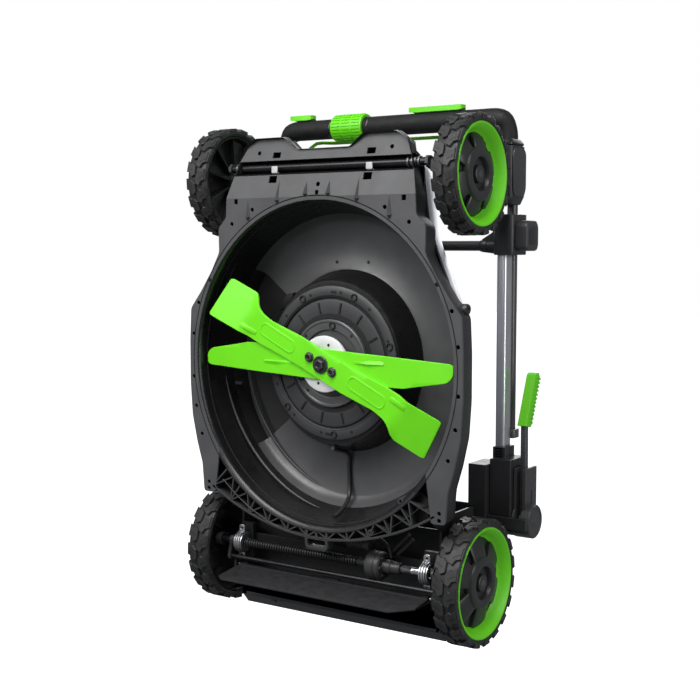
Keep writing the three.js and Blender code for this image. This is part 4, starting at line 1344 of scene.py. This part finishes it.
def make_rear_door():
    refined("rear_door", "black", 1.0)
    hinge = Vector((0, 190, 14))
    run = Vector((0, 123, -106)) - hinge
    along = run.normalized()
    inwards = Vector((0, -run.z, run.y)).normalized()
    bar = plate(rounded((-170, 170), (-3, 3), 2.8, 3), (-1.1, 1.1), "XY", (), 0.7)

    def bar_at(share):
        start = hinge + run * share
        return bar.changed(lambda p: start + Vector((p.x, 0, 0)) + along * p.y + inwards * (p.z - 2.6))

    bars = joined(bar_at(share) for share in (0.3, 0.5, 0.7))
    bars.make("rear_door_ribs", "rear_door", "dark", sharp=40)


# The side door's lower edge as (z, x outwards); from there its x runs on to DOOR_HINGE_X at the hinge.
DOOR_EDGE = ((129, 259), (140, 261), (150, 264), (170, 270), (190, 275), (215, 281), (240, 286), (262, 288.5),
             (284, 290))
DOOR_HINGE_X, DOOR_HINGE_Y, DOOR_THICKNESS = 291.6, 84, 3.2


def make_side_door():
    def row(z, edge, offset):
        heights = (8, 24, 40, 56, 70 if z < 145 else 82)
        slant = (DOOR_HINGE_X - edge) / (DOOR_HINGE_Y - 8)
        return [(-(edge + slant * (y - 8)) - offset, y, z) for y in heights]

    door = joined(skin([row(z, edge, offset) for z, edge in DOOR_EDGE], closed=False, caps=False)
                  for offset in (0, DOOR_THICKNESS))
    count, across, rows = len(door.points) // 2, 5, len(DOOR_EDGE)
    border = [*range(across), *[i * across + across - 1 for i in range(1, rows)],
              *[(rows - 1) * across + i for i in range(across - 2, -1, -1)],
              *[i * across for i in range(rows - 2, 0, -1)]]
    for a, b in zip(border, [*border[1:], border[0]]):
        door.faces.append((a, b, b + count, a + count))
    door.make("side_door_panel", "side_door", "black", "side_door", bevel=0.5, sharp=36)
    barrel = rod("Z", 3.6, (151, 284), (-293.6, 83.6), 24)
    barrel.make("side_door_barrel", "side_door", "dark", bevel=0.5)


make_skirt()
make_rear_housing()
make_rear_door()
make_side_door()


# ---- covers ----

SHROUD_HALF = [(0, 716), (50, 716), (84, 737), (150, 732), (188, 700), (195, 640), (202, 590), (224, 530),
               (254, 460), (271, 400), (272, 300), (262, 220), (240, 150), (203, 99), (150, 62), (90, 48),
               (0, 48)]
SHROUD_LEVELS = [(38.3, 1), (72, 0.97), (108, 0.912), (132, 0.84), (150, 0.73), (154, 0.62)]
WELL_X, WELL_Z = 62, (367, 543)
HATCH_Z = (325, 545)
TROUGH_TOP = 44.6  # the shroud's lower edge stays above the front axle here


def over_trough(point):
    return Vector((point.x, max(point.y, TROUGH_TOP), point.z)) if 678 < point.z < 712 else point


def rectangle(x, z):
    return [(x, z[0]), (x, z[1]), (-x, z[1]), (-x, z[0])]


def walls(outline, low, high):
    return skin([[(x, y, z) for x, z in outline] for y in (low, high)], caps=False)


def make_shroud():
    outline = softened(mirror_outline(SHROUD_HALF), 16, 4)
    curve = spline([(0, y, factor) for y, factor in SHROUD_LEVELS], 5)
    rings = [[(x, point.y, z) for x, z in scaled(outline, point.z, 380)] for point in curve]
    body = skin(rings, caps=False).changed(over_trough)
    top = scaled(outline, 0.63, 380)
    body.add(plate(top, (151, 154), "XZ", [rectangle(WELL_X, WELL_Z)], 0.3))
    body.add(walls(rectangle(WELL_X, WELL_Z), 112, 152))
    body.make("shroud_skin", "deck", "silver", "top_shroud", sharp=34)
    for z in (141, 291):
        cuboid((-298, -232), (80, 88), (z, z + 6)).make(f"side_door_lug_{z}", "deck", "dark", bevel=0.8)
    band = [[(x, y, z) for x, z in scaled(outline, factor, 380)]
            for y, factor in ((38.4, 1.0005), (38.4, 1.004), (43, 1.004), (43, 0.99))]
    skin(band, caps=False).changed(over_trough).make("shroud_trim", "deck", "black", sharp=40)


def make_hood():
    def hood_ring(y, inset):
        return [(x, y, z) for x, z in rounded((-118 + inset, 118 - inset), (205 + inset, 600 - inset),
                                              50 - inset / 2, 8)]

    curve = spline([(0, y, inset) for y, inset in ((154.4, 0), (180, 4), (191, 12), (196.4, 30))], 5)
    body = skin([hood_ring(point.y, point.z) for point in curve], caps=False)
    top = rounded((-89, 89), (234, 571), 35, 8)
    body.add(plate(top, (193.4, 196.8), "XZ", [rectangle(WELL_X, HATCH_Z)], 0.3))
    body.add(walls(rectangle(WELL_X, HATCH_Z), 154.6, 195))
    body.make("hood_skin", "deck", "black", "motor_hood", sharp=34)
    # Vent slots drawn as black strips on the hood: painted shade.
    vents = joined(plate(rounded((-52, 52), (z, z + 5), 2.4, 4), (196, 197), "XZ", (), 0.2)
                   for z in range(248, 309, 12))
    vents.make("hood_vents", "deck", "black_and_painted_shade", sharp=40)
    accents = plate(rounded((68, 73), (350, 520), 2.4, 4), (196, 197), "XZ", (), 0.2).both()
    accents.make("hood_accents", "deck", "lime", sharp=40)


def make_battery():
    low, high = box_of("battery_lid")
    z0, z1 = 332, high.z
    lid = plate(softened([(191, z0), (195, z0 - 0.6), (high.y, z0 + 11), (high.y, z1 - 5), (198, z1),
                          (191, z1)], 3, 3), (low.x, high.x), "YZ", (), 1.4)
    barrel = [(0.01, low.x), (3.6, low.x), (4.4, low.x + 1), (4.4, high.x - 1), (3.6, high.x), (0.01, high.x)]
    lid.add(lathe(barrel, "X", (0, 194, z0), 28)).dress("battery_lid", "gloss_black", sharp=34)
    ribs = joined(cuboid((-28, 28), (190.4, 191.6), (z, z + 3)) for z in range(500, 525, 8))
    ribs.make("battery_lid_ribs", "battery_lid", "dark", bevel=0.4)
    refined("battery_pack", "grey", 2.2, segments=3)
    latch = plate(rounded((-14, 14), (386, 400), 3), (181.4, 184.4), "XZ", (), 0.8)
    latch.make("battery_latch", "battery", "lime", sharp=40)
    bands = joined(cuboid((-56, 56), (181.4, 182.8), (z, z + 8)) for z in (410, 440, 470))
    bands.make("battery_bands", "battery", "dark", bevel=0.5)


make_shroud()
make_hood()
make_battery()


# ---- height lever ----

FOLD_Y, FOLD_Z = 220, 70
HOUSING_FACE_X = 315.4
GRIP_SLOPE = -0.386


def make_lever():
    def drawn_in(point):
        return Vector((min(point.x, HOUSING_FACE_X), point.y, point.z))

    refined("lever_housing", "dark", 1.4, rule=drawn_in)
    boss = lathe([(28.6, 315.2), (28.0, 316.6), (25.6, 316.9), (24.6, 315.8), (24.2, 315.3)], "X",
                 (0, FOLD_Y, FOLD_Z), 56)
    boss.add(lathe([(0.01, 316.2), (8.6, 316.2), (9.6, 315.3)], "X", (0, FOLD_Y, FOLD_Z), 40))
    boss.make("lever_boss_ring", "deck", "dark", sharp=50)
    # The lever's gate slot drawn as a black strip: painted shade.
    notch = plate(rounded((FOLD_Y + 4, FOLD_Y + 8), (FOLD_Z - 14, 124), 1.9, 3), (304.8, 306.3), "YZ", (),
                  0.2)
    notch.make("lever_gate_slot", "deck", "black_and_painted_shade", sharp=40)
    refined("height_lever", "bolt", 0.9)
    # A bright steel strip along the lever's edge: painted highlight.
    edge = plate([(232.4, 238), (238, 238), (256, 286), (251, 286)], (290, 299), "YZ", (), 0.3)
    edge.make("lever_painted_highlight", "height_lever", "steel", sharp=40)
    refined("lever_grip", "lime", 1.6, segments=3)
    rib = cuboid((302.2, 304.2), (-6.5, 6.5), (-1.5, 1.5)).turned("X", GRIP_SLOPE)
    ribs = joined(rib.moved((0, 226 + 2.75 * i, 246 + 6.8 * i)) for i in range(12))
    ribs.make("lever_grip_ribs", "height_lever", "lime", sharp=40)
    refined("height_link", "black_steel", 0.5)


make_lever()


# ---- handle ----

TUBE_X, TUBE_Y, TUBE_Z = (243, 261), (205, 233), (118.3, 599.7)
RAIL_X, RAIL_Y, RAIL_Z = (246, 262), (236, 251), (215, 689.7)
BAR_Y, BAR_Z, BAR_R = 245, 780, 19
CROSSBAR = (225, 555)


def long_tube(x, y, z, radius, wall):
    """A rectangular tube with rounded corners, standing along z."""
    inner = rounded((x[0] + wall, x[1] - wall), (y[0] + wall, y[1] - wall), max(1.0, radius - wall), 6)
    return plate(rounded(x, y, radius, 6), z, "XY", [inner], 0.3)


def ribbed_collar(x, y, z, radius, count):
    """A sleeve of rounded rings round a rectangular tube."""
    rings = []
    step = (z[1] - z[0]) / count
    for i in range(count):
        for share, grow in ((0.0, 0.0), (0.18, 1.0), (0.72, 1.0), (0.9, 0.0)):
            outline = rounded((x[0] - grow, x[1] + grow), (y[0] - grow, y[1] + grow), radius + grow, 5)
            rings.append([(a, b, z[0] + (i + share) * step) for a, b in outline])
    return skin(rings, caps=False)


def make_handle_side(name, side):
    """One side of the handle; shapes are drawn for the left one."""
    def put(form, piece, body, look, node=None, **edges):
        form.mirrored(side).make(piece.format(name), body, look, node, **edges)

    def dress(form, node, look):
        form.mirrored(side).dress(f"{node}_{name}", look, sharp=32)

    refined(f"handle_bracket_{name}", "black", 1.6)
    refined(f"knuckle_{name}", "black", 2.2, segments=3)
    dress(long_tube(TUBE_X, TUBE_Y, TUBE_Z, 5, 2), "lower_tube", "aluminium")
    collar = ribbed_collar((241.6, 264.6), (202, 237), (181, 199.4), 4, 4)
    put(collar, "tube_collar_{}", "lower_handle", "black", sharp=40)
    screws = joined(screw((281.4, y, 92), "X", 3.0, 1, 0.9) for y in (212, 228))
    put(screws, "knuckle_screws_{}", "lower_handle", "bolt", sharp=50)
    foot = plate(rounded((244, 266), (234.2, 255), 3, 3), (212, 228), "XY", (), 0.8)
    dress(plate(rounded(RAIL_X, RAIL_Y, 4.6, 6), RAIL_Z, "XY", (), 0.4).add(foot), "upper_rail",
          "black_steel")
    for look, places in (("steel", (1, 3, 4)), ("lime", (0, 2))):
        marks = joined(cuboid((261.4, 262.3), (241, 246), (470 + 13 * i, 475 + 13 * i)) for i in places)
        put(marks, f"rail_marks_{look}_{{}}", "upper_handle", look)
    housing = soft_block((240, 271), (203, 262), (627, 729), 11, ((14, 5), (2, 0)))
    housing.mirrored(side).dress(f"handle_housing_{name}", "black", sharp=34)
    cap = soft_block((241, 270), (204, 261), (730, 741), 10, ((2, 0), (7, 4)))
    put(cap, "handle_housing_cap_{}", "upper_handle", "gloss_black", sharp=34)
    face = softened([(214, 642), (250, 642), (257, 656), (257, 716), (250, 724), (214, 724), (209, 712),
                     (209, 654)], 5, 3)
    put(plate(face, (270.4, 272.8), "YZ", (), 0.9), "handle_housing_face_{}", "upper_handle", "dark",
        sharp=40)
    knob = softened([(209, 553), (216, 549), (246, 549), (251, 556), (251, 588), (245, 596), (216, 596),
                     (209, 590)], 4, 3)
    put(plate(knob, (276.4, 300.6), "YZ", (), 3.0), "lock_cam_{}_knob", f"lock_{name}", "dark",
        f"lock_cam_{name}", sharp=50)
    pad = softened([(216, 558), (244, 558), (246, 572), (244, 588), (216, 588)], 4, 3)
    put(plate(pad, (300.2, 301.6), "YZ", (), 0.5), "lock_cam_pad_{}", f"lock_{name}", "black", sharp=40)
    put(screw((258, 200.4, 598), "Y", 4.2, -1, 1.6), "yoke_screw_{}", "lower_handle", "steel", sharp=50)


def make_bar():
    half_span, bend, corner_girth = 247, 34, 14
    leg = [(half_span, BAR_Z - bend - 4)]
    for t in (i / 8 for i in range(9)):
        leg.append((half_span - bend * t * t, BAR_Z - bend * (1 - t) ** 2))
    route = [*[(-x, BAR_Y, z) for x, z in leg], *[(x, BAR_Y, BAR_Z) for x in range(-190, 191, 20)],
             *[(x, BAR_Y, z) for x, z in reversed(leg)]]

    def girth(share):
        """Full in the grip, narrower round the corners."""
        return corner_girth + (BAR_R - corner_girth) * smoothstep(min(share, 1 - share), 0.07, 0.17)

    tube(route, girth, 32).make("foam_grip", "upper_handle", "foam", "handlebar", sharp=60)
    joint = [(18.7, -3), (19.25, -2.4), (19.25, 2.4), (18.7, 3)]
    joints = joined(lathe(joint, "X", (x, BAR_Y, BAR_Z), 36) for x in (-132, -46))
    joints.make("bar_joints", "upper_handle", "gloss_black", sharp=60)
    ring = lathe([(19.5, -124), (24.4, -124), (25, -122.6), (25, -56.4), (24.4, -55), (19.5, -55),
                  (19.5, -124)], "X", (0, BAR_Y, BAR_Z), 56)
    for x0, x1 in ((-122, -102), (-99.6, -79.6), (-77, -57)):
        knurl = [(x0, 24.4), (x0 + 1.2, 26.4), (x1 - 1.2, 26.4), (x1, 24.4)]
        tooth = skin([[(x, a, b) for x, b in knurl] for a in (-1.5, 1.5)])
        ring.add(tooth.repeated(26, "X", (0, 0, 0)).moved((0, BAR_Y, BAR_Z)))
    ring.make("speed_ring_knurls", "speed_ring", "lime", "speed_ring", sharp=34)
    refined("drive_paddle", "lime", 2.4, segments=3)
    refined("start_button", "lime", 2.4, segments=3)
    refined("bail_bar", "lime_paint", 0, sharp=60)


for side_name, side_sign in SIDES:
    make_handle_side(side_name, side_sign)


def make_yoke():
    """Two clamp blocks, open where the rails slide, joined by a crossbar with gussets."""
    slides = [rounded((242.7, 261.3), (204.7, 233.3), 5, 4), rounded((245.7, 262.3), (235.7, 251.3), 4.6, 4)]
    block = softened([(239, 200), (275, 200), (275, 258), (239, 258)], 9, 4)
    gusset = [(239.6, 541), (239.6, 600), (226, 578), (206, 566), (206, 545)]
    yoke = plate(block, (539, 610), "XY", slides, 1.8).add(
        plate(gusset, (221, 229), "XZ", (), 1.0),
        lathe([(9.2, 200), (10.4, 202), (10.4, 214), (9.2, 216)], "X", (0, *CROSSBAR), 32)).both()
    yoke.add(rod("X", 9, (-240, 240), CROSSBAR, 32)).dress("telescope_yoke", "black", sharp=34)


make_yoke()
make_bar()
